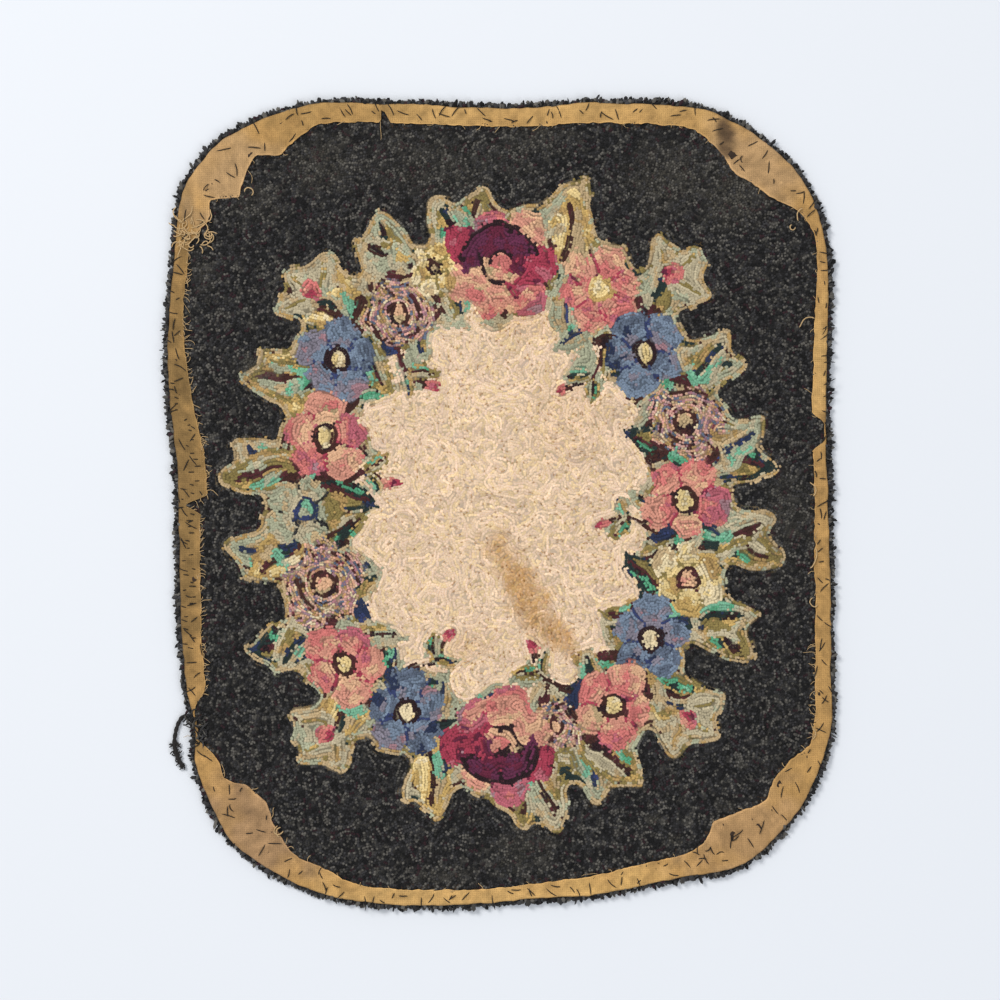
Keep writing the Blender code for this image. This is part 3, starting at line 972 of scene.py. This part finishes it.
# %% Colours
BLACKS = ("black", "soot", "coal")
FIELD_DYES = BLACKS + ("dust", "wine")
CREAMS = ("cream", "cream_pink", "cream_gold")
ROOT_SHADE_TINT = "c9a67c"     # the brown of the shade painted on a cream stitch where it dips into the cloth
ROOT_SHADE = 0.68        # how dark the painted shade makes any stitch there, against its top
UNEVEN = 0.06            # how much the tone varies from stitch to stitch
UNEVEN_BLACK = 0.55      # the same for the blacks, which are old and full of grey flecks
ROW_UNEVEN = 0.09        # from row to row
BLOTCHES = 0.07          # and in soft blotches over the whole rug
DUST_COVER = 0.55        # how much of a stitch dust of strength 1 hides

rng = np.random.default_rng(1930)
LOTS = rng.uniform(0.0, 1.0, 99991)


def numbers_of(names):
    return [NUMBER[name] for name in names]


def dye_at(x, y, row_tone, strip=None):
    """Linear colours for places on the sheet, and the dyes' numbers. Places on one strip of rag
    draw the same lot, so that a mixed dye changes strip by strip."""
    lot = rng.uniform(0.0, 1.0, len(x)) if strip is None else LOTS[strip % len(LOTS)]
    column = np.clip(np.rint(x).astype(int) + SHEET_HALF_WIDE, 0, drawing.shape[1] - 1)
    line = np.clip(np.rint(y).astype(int) + SHEET_HALF_TALL, 0, drawing.shape[0] - 1)
    number = drawing[line, column].astype(int)
    for mix, choices in MIXES.items():
        there = number == NUMBER[mix]
        choice = np.array([NUMBER[choice] for choice in choices])
        number[there] = choice[(lot[there] * len(choice)).astype(int)]
    colour = LINEAR[number]
    dark = np.isin(number, numbers_of(BLACKS))
    rough = np.where(dark, UNEVEN_BLACK, UNEVEN)
    tone = 1.0 + rough * rng.standard_normal(len(x)) + row_tone + BLOTCHES * cloud(x, y, 9, 40)
    colour = colour * np.clip(tone, 0.35, 1.7)[:, None]
    dusty = np.clip(dust[line, column] * rng.uniform(0.0, 1.3, len(x)), 0.0, 0.8)[:, None]
    colour = colour * (1 - DUST_COVER * dusty) + DUST_COVER * dusty * linear(DYES["dust"])
    spilt = np.clip(spill[line, column] * rng.uniform(0.7, 1.2, len(x)), 0.0, 0.9)[:, None]
    colour = colour * (1 - spilt) + spilt * colour * (linear(DYES["stain"]) / linear("e3c69d"))
    return colour, number


row_tones = ROW_UNEVEN * rng.standard_normal(len(rows))
row_number = stitches[:, 3].astype(int)
strips = row_number * 31 + np.arange(len(stitches)) // 2
colours, numbers = dye_at(stitches[:, 0], stitches[:, 1], row_tones[row_number], strips)
cream = np.isin(numbers, numbers_of(CREAMS))
field = np.isin(numbers, numbers_of(FIELD_DYES))
# Painted shade: each stitch gets a darker root colour where it dips into the cloth, less dark and
# browner on the cream. Tweed stitches take a fleck dye there instead.
root_shade_and_fleck = colours * ROOT_SHADE
root_shade_and_fleck[cream] *= 1.22
root_shade_and_fleck[cream] *= linear(ROOT_SHADE_TINT) / linear("c0b09a")
on_tweed = drawing[np.rint(stitches[:, 1]).astype(int) + SHEET_HALF_TALL,
                   np.rint(stitches[:, 0]).astype(int) + SHEET_HALF_WIDE] == NUMBER["tweed"]
flecks = np.array([linear(DYES[name]) for name in ("maroon", "slate", "rose", "brown", "coal")])
root_shade_and_fleck[on_tweed] = flecks[rng.integers(0, 5, int(on_tweed.sum()))]
print("mean colour", colours.mean(axis=0).round(3))

# %% [markdown]
# ## Back stitches
# Seen from the back, a loop shows as one short flat bar of wool that goes down through the
# cloth at both ends. So each stitch is a low pillow with a ridge, with shade painted dark where it
# dips into the cloth and light along its top. Wear has flattened them most on the cream, to
# between 0.6 and 1.3 mm. On the field they stand up to 2 mm, and lie at more varied angles.

# %% Back stitches
BACK_CLOTH = 6.9         # height of the cloth's back above the floor
COVER_LONG = 1.55        # a stitch's usual length, in steps along the row
COVER_WIDE = 1.38        # its usual width, in gaps between rows
TURN_FIELD = 0.8         # a stitch's usual turn from its row on the field, in radians
TURN_ELSEWHERE = 0.25
SHADE_LINE_SHARE = 0.07        # share of the cream's stitches that are narrow and brown, as painted shade between rows
PILLOW = np.array([(-0.5, 0, 0), (-0.27, -0.5, 0), (0.27, -0.5, 0), (0.5, 0, 0), (0.27, 0.5, 0),
                   (-0.27, 0.5, 0), (-0.2, 0, 1), (0.2, 0, 1)], float)
PILLOW_FACES = np.array([(0, 1, 6), (1, 2, 7), (1, 7, 6), (2, 3, 7), (3, 4, 7), (4, 5, 6),
                         (4, 6, 7), (5, 0, 6)])
# How much of the dark root colour, a painted shade, each point of the pillow takes.
PILLOW_SHADE_SHARE = np.array([0.9, 0.8, 0.8, 0.9, 0.8, 0.8, 0.0, 0.0])

distance = np.hypot(stitches[:, 0], stitches[:, 1])
open_back = distance < reach(CUT, stitches[:, 0], stitches[:, 1]) + 3.0
place = np.c_[stitches[:, :2], np.full(len(stitches), BACK_CLOTH)]
place[:, :2] += 0.28 * rng.standard_normal((len(stitches), 2))
usual_turn = np.where(field, TURN_FIELD, TURN_ELSEWHERE)
lean = stitches[:, 2] + rng.standard_normal(len(stitches)) * usual_turn
# The painted shade at the roots of the field's stitches is darker still.
root_shade_and_fleck[field] *= 0.5
size = np.c_[STITCH * rng.normal(COVER_LONG, 0.16, len(stitches)),
             ROW_GAP * rng.normal(COVER_WIDE, 0.12, len(stitches)),
             rng.uniform(0.8, 1.45, len(stitches))]
size[field] *= (0.8, 0.95, 1.4)
size[cream] *= (1.08, 1.12, 0.7)
# A few stitches of the cream are narrow and brown: painted shade for the dark lines between rows.
seam = cream & (rng.random(len(stitches)) < SHADE_LINE_SHARE)
size[seam] *= (0.9, 0.42, 1.25)
colours[seam] *= linear("a88463") / linear("eacfb0")


def stitched(name, chosen):
    """One piece of back stitches, with shade painted dark at the root of each and light to its
    ridge.
    """
    points, faces = scatter(PILLOW, PILLOW_FACES, place[chosen], lean[chosen], size[chosen])
    down = PILLOW_SHADE_SHARE[None, :, None]
    shade = colours[chosen][:, None, :] * (1.0 - down) + root_shade_and_fleck[chosen][:, None, :] * down
    made = piece(name, points, faces, wool, shade.reshape(-1, 3))


above = stitches[:, 1] > 0
stitched("back_stitches_cream_ground", open_back & cream)
stitched("back_stitches_wreath_upper", open_back & ~cream & ~field & above)
stitched("back_stitches_wreath_lower", open_back & ~cream & ~field & ~above)
stitched("back_stitches_field_upper", open_back & field & above)
stitched("back_stitches_field_lower", open_back & field & ~above)

# A sheet of the stitches' dyes lies just under them and fills the gaps between them as painted
# shade.
BED_PITCH = 6.0
bed_x, bed_y = np.meshgrid(np.arange(-57, 58) * BED_PITCH, np.arange(-69, 70) * BED_PITCH)
bed_points = np.c_[bed_x.ravel(), bed_y.ravel(), np.full(bed_x.size, BACK_CLOTH + 0.25)]
corner = np.arange(bed_x.size).reshape(bed_x.shape)
quads = np.stack([corner[:-1, :-1], corner[:-1, 1:], corner[1:, 1:], corner[1:, :-1]], -1)
quads = quads.reshape(-1, 4)
centre = bed_points[quads].mean(axis=1)
covered = np.hypot(centre[:, 0], centre[:, 1]) < reach(CUT, centre[:, 0], centre[:, 1]) - 4.0
used, quads = np.unique(quads[covered], return_inverse=True)
bed_points = bed_points[used]
shade, bed_dyes = dye_at(bed_points[:, 0], bed_points[:, 1], 0.0)
pale = np.isin(bed_dyes, numbers_of(CREAMS))
# Painted shade: the sheet is darkened less under the cream than under the field and wreath.
shade *= np.where(pale, 0.66, 0.42)[:, None]
piece("wool_between_stitches_in_painted_shade", bed_points, quads.reshape(-1, 4), wool,
                            shade)

# %% [markdown]
# ## The pile
# On the face each stitch is a standing loop. The rug's weight lies on them, so they are short
# blunt cones, point down. Every second one is made, as the face is out of sight, and a mass of
# wool closes the gaps, its dyes halved in brightness as painted shade. Round the edge the last
# loops bulge out and make the lumpy rim.

# %% Pile
LOOP = np.array([(-0.5, -0.5, 1), (0.5, -0.5, 1), (0.5, 0.5, 1), (-0.5, 0.5, 1), (0, 0, 0)], float)
LOOP_FACES = np.array([(1, 0, 4), (2, 1, 4), (3, 2, 4), (0, 3, 4)])
MASS_HEIGHT = 1.7        # underside of the dark mass above the floor

every_other = np.arange(len(stitches)) % 2 == 0
for name, half in (("pile_loops_upper", above & every_other),
                   ("pile_loops_lower", ~above & every_other)):
    count = int(half.sum())
    low = rng.uniform(0.05, 0.5, count)
    spot = np.c_[stitches[half, :2] + 0.3 * rng.standard_normal((count, 2)), low]
    blunt = np.c_[np.full(count, 4.2), np.full(count, 3.4), MASS_HEIGHT + 0.1 - low]
    points, faces = scatter(LOOP, LOOP_FACES, spot, lean[half], blunt)
    shade = np.repeat(colours[half], len(LOOP), axis=0)
    piece(name, points, faces, wool, shade)

STATIONS = 900
theta = 2.0 * math.pi * np.arange(STATIONS) / STATIONS - math.pi
compass = np.stack([np.cos(theta), np.sin(theta)], -1)
edge_far = np.interp(theta, *EDGE)
cut_far = np.interp(theta, *CUT)


def lofted(rings):
    """Points and triangles through rings of equal counts, with a point in the middle at both
    ends. A ring is (how far out at each station, its height)."""
    loops = [np.c_[compass * np.reshape(far, (-1, 1)), np.broadcast_to(height, STATIONS)]
             for far, height in rings]
    middles = np.array([(0, 0, loops[0][0, 2]), (0, 0, loops[-1][0, 2])])
    points = np.vstack(loops + [middles])
    k = np.arange(STATIONS)
    beside = (k + 1) % STATIONS
    faces = []
    for number in range(len(loops) - 1):
        low = number * STATIONS
        high = low + STATIONS
        faces.append(np.stack([low + k, low + beside, high + beside], -1))
        faces.append(np.stack([low + k, high + beside, high + k], -1))
    last = (len(loops) - 1) * STATIONS
    faces.append(np.stack([beside, k, np.full(STATIONS, len(points) - 2)], -1))
    faces.append(np.stack([last + k, last + beside, np.full(STATIONS, len(points) - 1)], -1))
    return points, np.vstack(faces)


wave = cloud(edge_far * np.cos(theta), edge_far * np.sin(theta), 5, 50)
pile_rings = [(edge_far * share, MASS_HEIGHT) for share in (0.25, 0.5, 0.75)]
pile_rings += [(edge_far - 4.5, MASS_HEIGHT), (edge_far - 2.6 + 0.4 * wave, 2.0),
               (edge_far - 1.6 + 0.6 * wave, 3.2), (edge_far - 1.9 + 0.6 * wave, 4.8),
               (edge_far - 2.8, 6.0), (edge_far - 6.0, 6.1)]
pile_rings += [(edge_far * share, 6.1) for share in (0.75, 0.5, 0.25)]
points, faces = lofted(pile_rings)
shade, _ = dye_at(points[:, 0] * 0.985, points[:, 1] * 0.985, 0.0)
# Painted shade: the mass takes the dyes above it at half their brightness.
piece("pile_mass", points, faces, wool, 0.5 * shade)

BALL = [(0.0, 0.0, -0.5)]
for height, ring in ((-0.3, 0.4), (0.0, 0.5), (0.3, 0.4)):
    BALL += [(ring * math.cos(a), ring * math.sin(a), height)
             for a in np.arange(6) * math.pi / 3]
BALL = np.array(BALL + [(0.0, 0.0, 0.5)])
BALL_FACES = [(0, 1 + (k + 1) % 6, 1 + k) for k in range(6)]
for low in (1, 7):
    for k in range(6):
        a, b = low + k, low + (k + 1) % 6
        BALL_FACES += [(a, b, b + 6), (a, b + 6, a + 6)]
BALL_FACES = np.array(BALL_FACES + [(19, 13 + k, 13 + (k + 1) % 6) for k in range(6)])

STRAY_SHARE = 0.17       # share of the rim's loops that have worked loose
STRAY_OUT = 1.7          # how far those stand past the rest

run = np.concatenate([[0.0], np.cumsum(np.hypot(*np.diff(compass * edge_far[:, None], axis=0).T))])
lump_places = []
for height, inset, pitch in ((1.9, 1.6, 4.2), (3.9, 0.9, 3.9), (5.6, 1.5, 3.7), (6.9, 3.2, 3.6)):
    along = np.arange(0.0, run[-1], pitch)
    along = along + rng.uniform(-0.9, 0.9, len(along))
    heading = np.interp(along, run, theta)
    out = np.interp(heading, theta, edge_far) - inset + rng.normal(0.0, 1.0, len(along))
    out += 0.9 * cloud(out * np.cos(heading), out * np.sin(heading), 9, 61)
    high = height + rng.normal(0.0, 0.35, len(along))
    lump_places.append(np.c_[out * np.cos(heading), out * np.sin(heading), high])
lump_places = np.vstack(lump_places)
count = len(lump_places)
lump_size = rng.normal(1.0, 0.28, (count, 3)).clip(0.5, 1.9) * (5.4, 3.8, 3.0)
lump_turn = np.arctan2(lump_places[:, 1], lump_places[:, 0]) + rng.normal(0.0, 0.5, count)
stray = rng.random(count) < STRAY_SHARE
lump_size[stray] *= (1.3, 0.95, 1.0)
stray_far = np.hypot(lump_places[stray, 0], lump_places[stray, 1])[:, None]
lump_places[stray, :2] *= 1.0 + STRAY_OUT / stray_far
points, faces = scatter(BALL, BALL_FACES, lump_places, lump_turn, lump_size)
points[:, 2] = np.maximum(points[:, 2], LOWEST)
shade, _ = dye_at(lump_places[:, 0] * 0.98, lump_places[:, 1] * 0.98, 0.0)
shade = np.repeat(shade, len(BALL), axis=0)
piece("pile_rim_loops", points, faces, wool, shade)

# %% [markdown]
# ## The cloth and its turned margin
# One piece of burlap does everything: it lies under the back stitches, runs out to the edge,
# turns over the last loops and comes back on top as the hem. So it is one closed sheet whose
# section is a long hairpin. The margin was never washed flat: it ripples, its cut edge wanders,
# and it has gone brown where feet and damp reached it.

# %% Foundation cloth
FOLD_RING = 6            # the ring of points on the fold's own line
HEM_ROWS = 10            # rings of points across the turned margin
CLOTH_TOP = 9.25         # height of the turned margin's upper side

fold = 5.0 + 1.3 * cloud(edge_far * np.cos(theta), edge_far * np.sin(theta), 45, 60)
pucker = cloud(edge_far * np.cos(theta), edge_far * np.sin(theta), 7, 51)
nibble = cloud(cut_far * np.cos(theta), cut_far * np.sin(theta), 6, 52)
nibble += 0.6 * cloud(cut_far * np.cos(theta), cut_far * np.sin(theta), 2.6, 53)
ragged_cut = cut_far - 0.9 * nibble


def rippled(far, height, amount=1.0):
    x = far * np.cos(theta)
    y = far * np.sin(theta)
    rise = 0.6 * cloud(x, y, 15, 54) + 0.65 * cloud(x, y, 7, 55) + 0.35 * cloud(x, y, 3, 56)
    return height + amount * rise


cloth_rings = [(edge_far * share, 6.2) for share in (0.3, 0.6, 0.9)]
cloth_rings += [(edge_far - fold - 1.6, 6.3), (edge_far - fold + 0.4 + 0.5 * pucker, 6.6),
                (edge_far - fold + 1.0 + 0.7 * pucker, 7.7),
                (edge_far - fold + 0.5 + 0.7 * pucker, 8.8)]
for share in (*np.linspace(0.0, 0.93, HEM_ROWS - 1) ** 0.9, 0.975, 1.0):
    far = (edge_far - fold - 0.9 + 0.5 * pucker) * (1 - share) + ragged_cut * share
    pleated = CLOTH_TOP - 0.25 * share + 0.35 * pucker * (1 - share)
    cloth_rings.append((far, rippled(far, pleated, min(1.0, 0.4 + 3 * share))))
hem_end = len(cloth_rings)
cloth_rings += [(ragged_cut - 0.1, rippled(ragged_cut, 8.45)),
                (ragged_cut * 0.5 + (edge_far - fold) * 0.5 - 1.0, 8.2),
                (edge_far - fold - 0.4, 8.0), (edge_far - fold - 1.0, BACK_CLOTH + 0.1),
                (ragged_cut - 2.0, BACK_CLOTH)]
cloth_rings += [(edge_far * share, BACK_CLOTH) for share in (0.8, 0.6, 0.4, 0.2)]
points, faces = lofted(cloth_rings)

TONE = namedtuple("Tone", "colour x y long wide strength")
HEM_TONES = (
    TONE("a8834f", 330, 0, 120, 700, 0.6), TONE("79603a", -340, 20, 90, 480, 0.85),
    TONE("c09a60", 0, 420, 500, 80, 0.6), TONE("c8a165", 0, -425, 460, 80, 0.7),
    TONE("b0906a", -278, 330, 80, 80, 0.7), TONE("ab8b66", 262, 348, 90, 90, 0.7),
    TONE("9c7c5c", -240, -330, 100, 110, 0.8), TONE("a68460", 246, -334, 110, 90, 0.6),
    TONE("8a6a3c", -180, 395, 120, 40, 0.4), TONE("d6ab66", 120, -400, 90, 30, 0.4),
    TONE("4e3c2c", 233, 385, 14, 26, 0.9), TONE("54412f", 231, 361, 12, 10, 0.8),
    TONE("5a4633", -262, -318, 20, 14, 0.5), TONE("d8b070", 326, 150, 30, 90, 0.4),
)
x, y = points[:, 0], points[:, 1]
cloth_tone_and_painted_light = np.tile(linear("b38b54"), (len(points), 1))
for tone in HEM_TONES:
    far = np.hypot(2 * (x - tone.x) / tone.long, 2 * (y - tone.y) / tone.wide)
    share = tone.strength * np.clip(1.6 - far + 0.5 * cloud(x, y, 14, 57), 0.0, 1.0)[:, None]
    cloth_tone_and_painted_light = cloth_tone_and_painted_light * (1 - share) + share * linear(tone.colour)
ring_number = np.minimum(np.arange(len(points)) // STATIONS, len(cloth_rings) - 1)
# Blotches that stand for grime and for the shade of small wrinkles, painted shade along the fold,
# and a painted highlight along the cut edge.
grime_and_painted_light = 1.0 + 0.16 * cloud(x, y, 10, 58) + 0.22 * cloud(x, y, 4, 59)
grime_and_painted_light *= np.where(ring_number == FOLD_RING, 0.8, 1.0)
grime_and_painted_light *= np.where((ring_number == hem_end - 1) | (ring_number == hem_end - 2), 1.32, 1.0)
cloth_tone_and_painted_light = cloth_tone_and_painted_light * grime_and_painted_light[:, None]
# Painted shade: the cloth's hidden parts, under the hem and under the stitches, are a flat dark
# brown.
hidden = ring_number >= hem_end
cloth_tone_and_painted_light[hidden] = linear("3a2d24")
foundation = piece("burlap_foundation", points, faces, burlap, cloth_tone_and_painted_light)

# %% [markdown]
# ## Sewing and loose threads
# The hem was tacked down by hand with black thread: short stitches at odd angles, some of them
# crossed where the sewer went over a weak place. Burlap frays wherever it is cut, so threads
# hang out along the cut edge, thickest at the worn left side, and a few long ones have curled.

# %% Threads
TACK_RADIUS = 0.55       # drawn thicker than real thread, so that it shows
CURL_RADIUS = 0.72


def wander(start, heading, length, bend, waver, heights, steps=9):
    """Loose threads: each leaves its start at a heading and turns by bend, wavering, on its way.
    Heights are those of its start, its middle and its end."""
    count = len(start)
    t = np.linspace(0.0, 1.0, steps)
    shake = rng.standard_normal((count, steps)).cumsum(axis=1) * waver / math.sqrt(steps)
    angle = np.reshape(heading, (-1, 1)) + np.reshape(bend, (-1, 1)) * t + shake
    step = np.reshape(length, (-1, 1)) / (steps - 1)
    x = start[:, :1] + np.cumsum(step * np.cos(angle), axis=1) - step * np.cos(angle[:, :1])
    y = start[:, 1:2] + np.cumsum(step * np.sin(angle), axis=1) - step * np.sin(angle[:, :1])
    z = np.interp(t, (0.0, 0.5, 1.0), heights) + 0.15 * rng.standard_normal((count, steps))
    return np.stack([x, y, np.broadcast_to(z, x.shape)], -1)


def along_cut(pitch, jitter):
    """Headings spaced by a distance along the cut edge."""
    length = np.concatenate([[0.0], np.cumsum(np.hypot(*np.diff(compass * cut_far[:, None],
                                                                axis=0).T))])
    spots = np.arange(0.0, length[-1], pitch)
    return np.interp(spots + rng.uniform(-jitter, jitter, len(spots)), length, theta)


def from_middle(heading, far):
    return np.stack([far * np.cos(heading), far * np.sin(heading)], -1)


tacks = np.concatenate([along_cut(19.0, 7.0), along_cut(30.0, 12.0)])
width = np.interp(tacks, theta, edge_far - cut_far)
inside = np.interp(tacks, theta, edge_far) - width * rng.uniform(0.35, 0.95, len(tacks))
slant = tacks + rng.uniform(-1.5, 1.5, len(tacks))
tack_paths = wander(from_middle(tacks, inside), slant, rng.uniform(5.0, 16.0, len(tacks)),
                    rng.uniform(-0.6, 0.6, len(tacks)), 0.15, (9.3, 10.0, 9.3), 7)
Tack = namedtuple("Tack", "x y")
EXTRA_TACKS = (
    Tack(-277, -308), Tack(-279, -303), Tack(-182, -385), Tack(-186, -381), Tack(246, 354),
    Tack(249, 350), Tack(204, -350), Tack(210, -356), Tack(216, -352), Tack(222, -360),
    Tack(212, -364), Tack(205, -360),
)
extra = np.array(EXTRA_TACKS, float)
extra_paths = wander(extra, rng.uniform(0.0, 6.3, len(extra)), np.full(len(extra), 9.0),
                     rng.uniform(-1.5, 1.5, len(extra)), 0.5, (9.4, 10.0, 9.4), 7)
tick_y = np.arange(-150.0, 190.0, 7.0)
tick_y += rng.uniform(-1.5, 1.5, len(tick_y))
tick_far = reach(CUT, -300.0, tick_y) + rng.uniform(4.0, 14.0, len(tick_y))
tick_start = np.c_[-np.sqrt(np.maximum(tick_far ** 2 - tick_y ** 2, 1.0)), tick_y]
tick_paths = wander(tick_start, math.pi + rng.normal(0.0, 0.25, len(tick_y)),
                    rng.uniform(3.0, 7.0, len(tick_y)), np.zeros(len(tick_y)), 0.1,
                    (9.3, 9.9, 9.3), 7)
points, faces = tubes(np.vstack([tack_paths, extra_paths, tick_paths]), TACK_RADIUS, 5)
sewing = piece("hem_tacking_stitches", points, faces, cotton)

WORN = ((141.0, 213.0), (323.0, 336.0))     # headings where the cut edge is frayed thickly
fringe = along_cut(26.0, 12.0)
dense = along_cut(3.2, 1.6)
degrees = np.degrees(dense) % 360.0
worn = sum((degrees > low) & (degrees < high) for low, high in WORN) > 0
fringe = np.concatenate([fringe, dense[worn]])
count = len(fringe)
starts = from_middle(fringe, np.interp(fringe, theta, cut_far) + 1.2)
fray_paths = wander(starts, fringe + math.pi + rng.normal(0.0, 0.7, count),
                    rng.gamma(4.0, 1.5, count) + 1.5, rng.normal(0.0, 1.2, count), 0.6,
                    (9.1, 8.7, 8.2), 7)
Curl = namedtuple("Curl", "x y length")
CURLS = (
    Curl(323, 190, 22), Curl(321, 8, 18), Curl(318, -66, 24), Curl(321, -96, 18),
    Curl(320, -231, 14), Curl(-228, -330, 20), Curl(-226, -342, 14), Curl(-262, 320, 18),
    Curl(306, 290, 16), Curl(303, 284, 12),
)
curls = np.array(CURLS, float)
far_in = np.hypot(curls[:, 0], curls[:, 1]) / (reach(EDGE, curls[:, 0], curls[:, 1]) - 8.0)
curls[:, :2] /= np.maximum(far_in, 1.0)[:, None]
curl_paths = wander(curls, rng.uniform(0.0, 6.3, len(curls)), curls[:, 2],
                    rng.choice((-1, 1), len(curls)) * rng.uniform(2.0, 4.5, len(curls)), 0.5,
                    (9.8, 10.4, 9.9), 22)
TANGLED = 42             # threads drawn out of the weave at the upper left
tangle = np.c_[rng.uniform(-330, -300, TANGLED), rng.uniform(262, 292, TANGLED)]
shrink = (reach(EDGE, tangle[:, 0], tangle[:, 1]) - 6.0) / np.hypot(tangle[:, 0], tangle[:, 1])
tangle *= np.minimum(1.0, shrink)[:, None]
tangle_paths = wander(tangle, rng.uniform(0.0, 6.3, TANGLED), rng.uniform(8.0, 22.0, TANGLED),
                      rng.uniform(-4.0, 4.0, TANGLED), 0.9, (8.8, 10.2, 9.4), 22)
points, faces = tubes(fray_paths, rng.uniform(0.25, 0.42, count))
curl_points, curl_faces = tubes(np.vstack([curl_paths, tangle_paths]), CURL_RADIUS)
points = np.vstack([points, curl_points])
faces = np.vstack([faces, curl_faces + len(points) - len(curl_points)])
threads = piece("frayed_jute_threads", points, faces, jute)

# %% [markdown]
# ## Where the edge is torn
# At the lower left the cloth has rotted through and let the loops go. What is left is a dark
# tangle of wool ends, and the long yarn comes out of it. Fibres are matted round its far half.

# %% Torn edge and the yarn's clump
TORN = 34                # wool ends left in the tear
END_STEPS = 14
END_SIDES = 5
END_RADIUS = 0.8
FIBRE_RADIUS = 0.7
bite = np.c_[rng.normal(-311, 4.5, TORN), rng.normal(-231, 8.0, TORN)]
shrink = (reach(EDGE, bite[:, 0], bite[:, 1]) - 1.0) / np.hypot(bite[:, 0], bite[:, 1])
bite *= np.minimum(1.0, shrink)[:, None]
bite_paths = wander(bite, rng.uniform(0.0, 6.3, TORN), rng.uniform(6.0, 16.0, TORN),
                    rng.uniform(-5.0, 5.0, TORN), 0.7, (7.8, 9.4, 8.0), END_STEPS)
points, faces = tubes(bite_paths, END_RADIUS, END_SIDES)
shade = np.repeat(dye_at(bite[:, 0] + 25, bite[:, 1], 0.0)[0], END_STEPS * END_SIDES, axis=0)
torn = piece("torn_wool_ends", points, faces, wool, shade)

MATTED = 46              # fibres matted along the yarn's far half
seat = way[rng.integers(YARN_STEPS // 2, YARN_STEPS, MATTED), :2]
clump = seat + rng.normal(0.0, 1.1, seat.shape)
clump_paths = wander(clump, -1.4 + rng.normal(0.0, 0.9, MATTED), rng.uniform(3.0, 8.0, MATTED),
                     rng.uniform(-3.0, 3.0, MATTED), 0.5, (1.4, 3.9, 1.6), 12)
points, faces = tubes(clump_paths, FIBRE_RADIUS, 5)
points[:, 2] = np.maximum(points[:, 2], LOWEST)
shade = np.tile(linear(YARN_DYE), (len(points), 1))
clump_piece = piece("yarn_clump", points, faces, wool, shade)

# %% [markdown]
# ## Floor
# A plain pale board, large enough to fill the view and to send a little light up under the
# rug's lumpy rim.

# %% Floor
board = bpy.data.meshes.new("floor")
board.from_pydata([(-4, -4, 0), (4, -4, 0), (4, 4, 0), (-4, 4, 0)], [], [(0, 1, 2, 3)])
floor = bpy.data.objects.new("floor", board)
bpy.context.collection.objects.link(floor)
paint = bpy.data.materials.new("matt_white_board")
paint.use_nodes = True
coat = paint.node_tree.nodes["Principled BSDF"]
coat.inputs["Base Color"].default_value = (*linear("e6e9ee"), 1.0)
coat.inputs["Roughness"].default_value = 0.8
coat.inputs["Specular IOR Level"].default_value = 0.2
board.materials.append(paint)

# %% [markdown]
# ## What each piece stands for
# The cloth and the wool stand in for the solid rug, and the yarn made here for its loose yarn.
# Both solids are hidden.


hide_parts("rug")
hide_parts("loose_yarn")
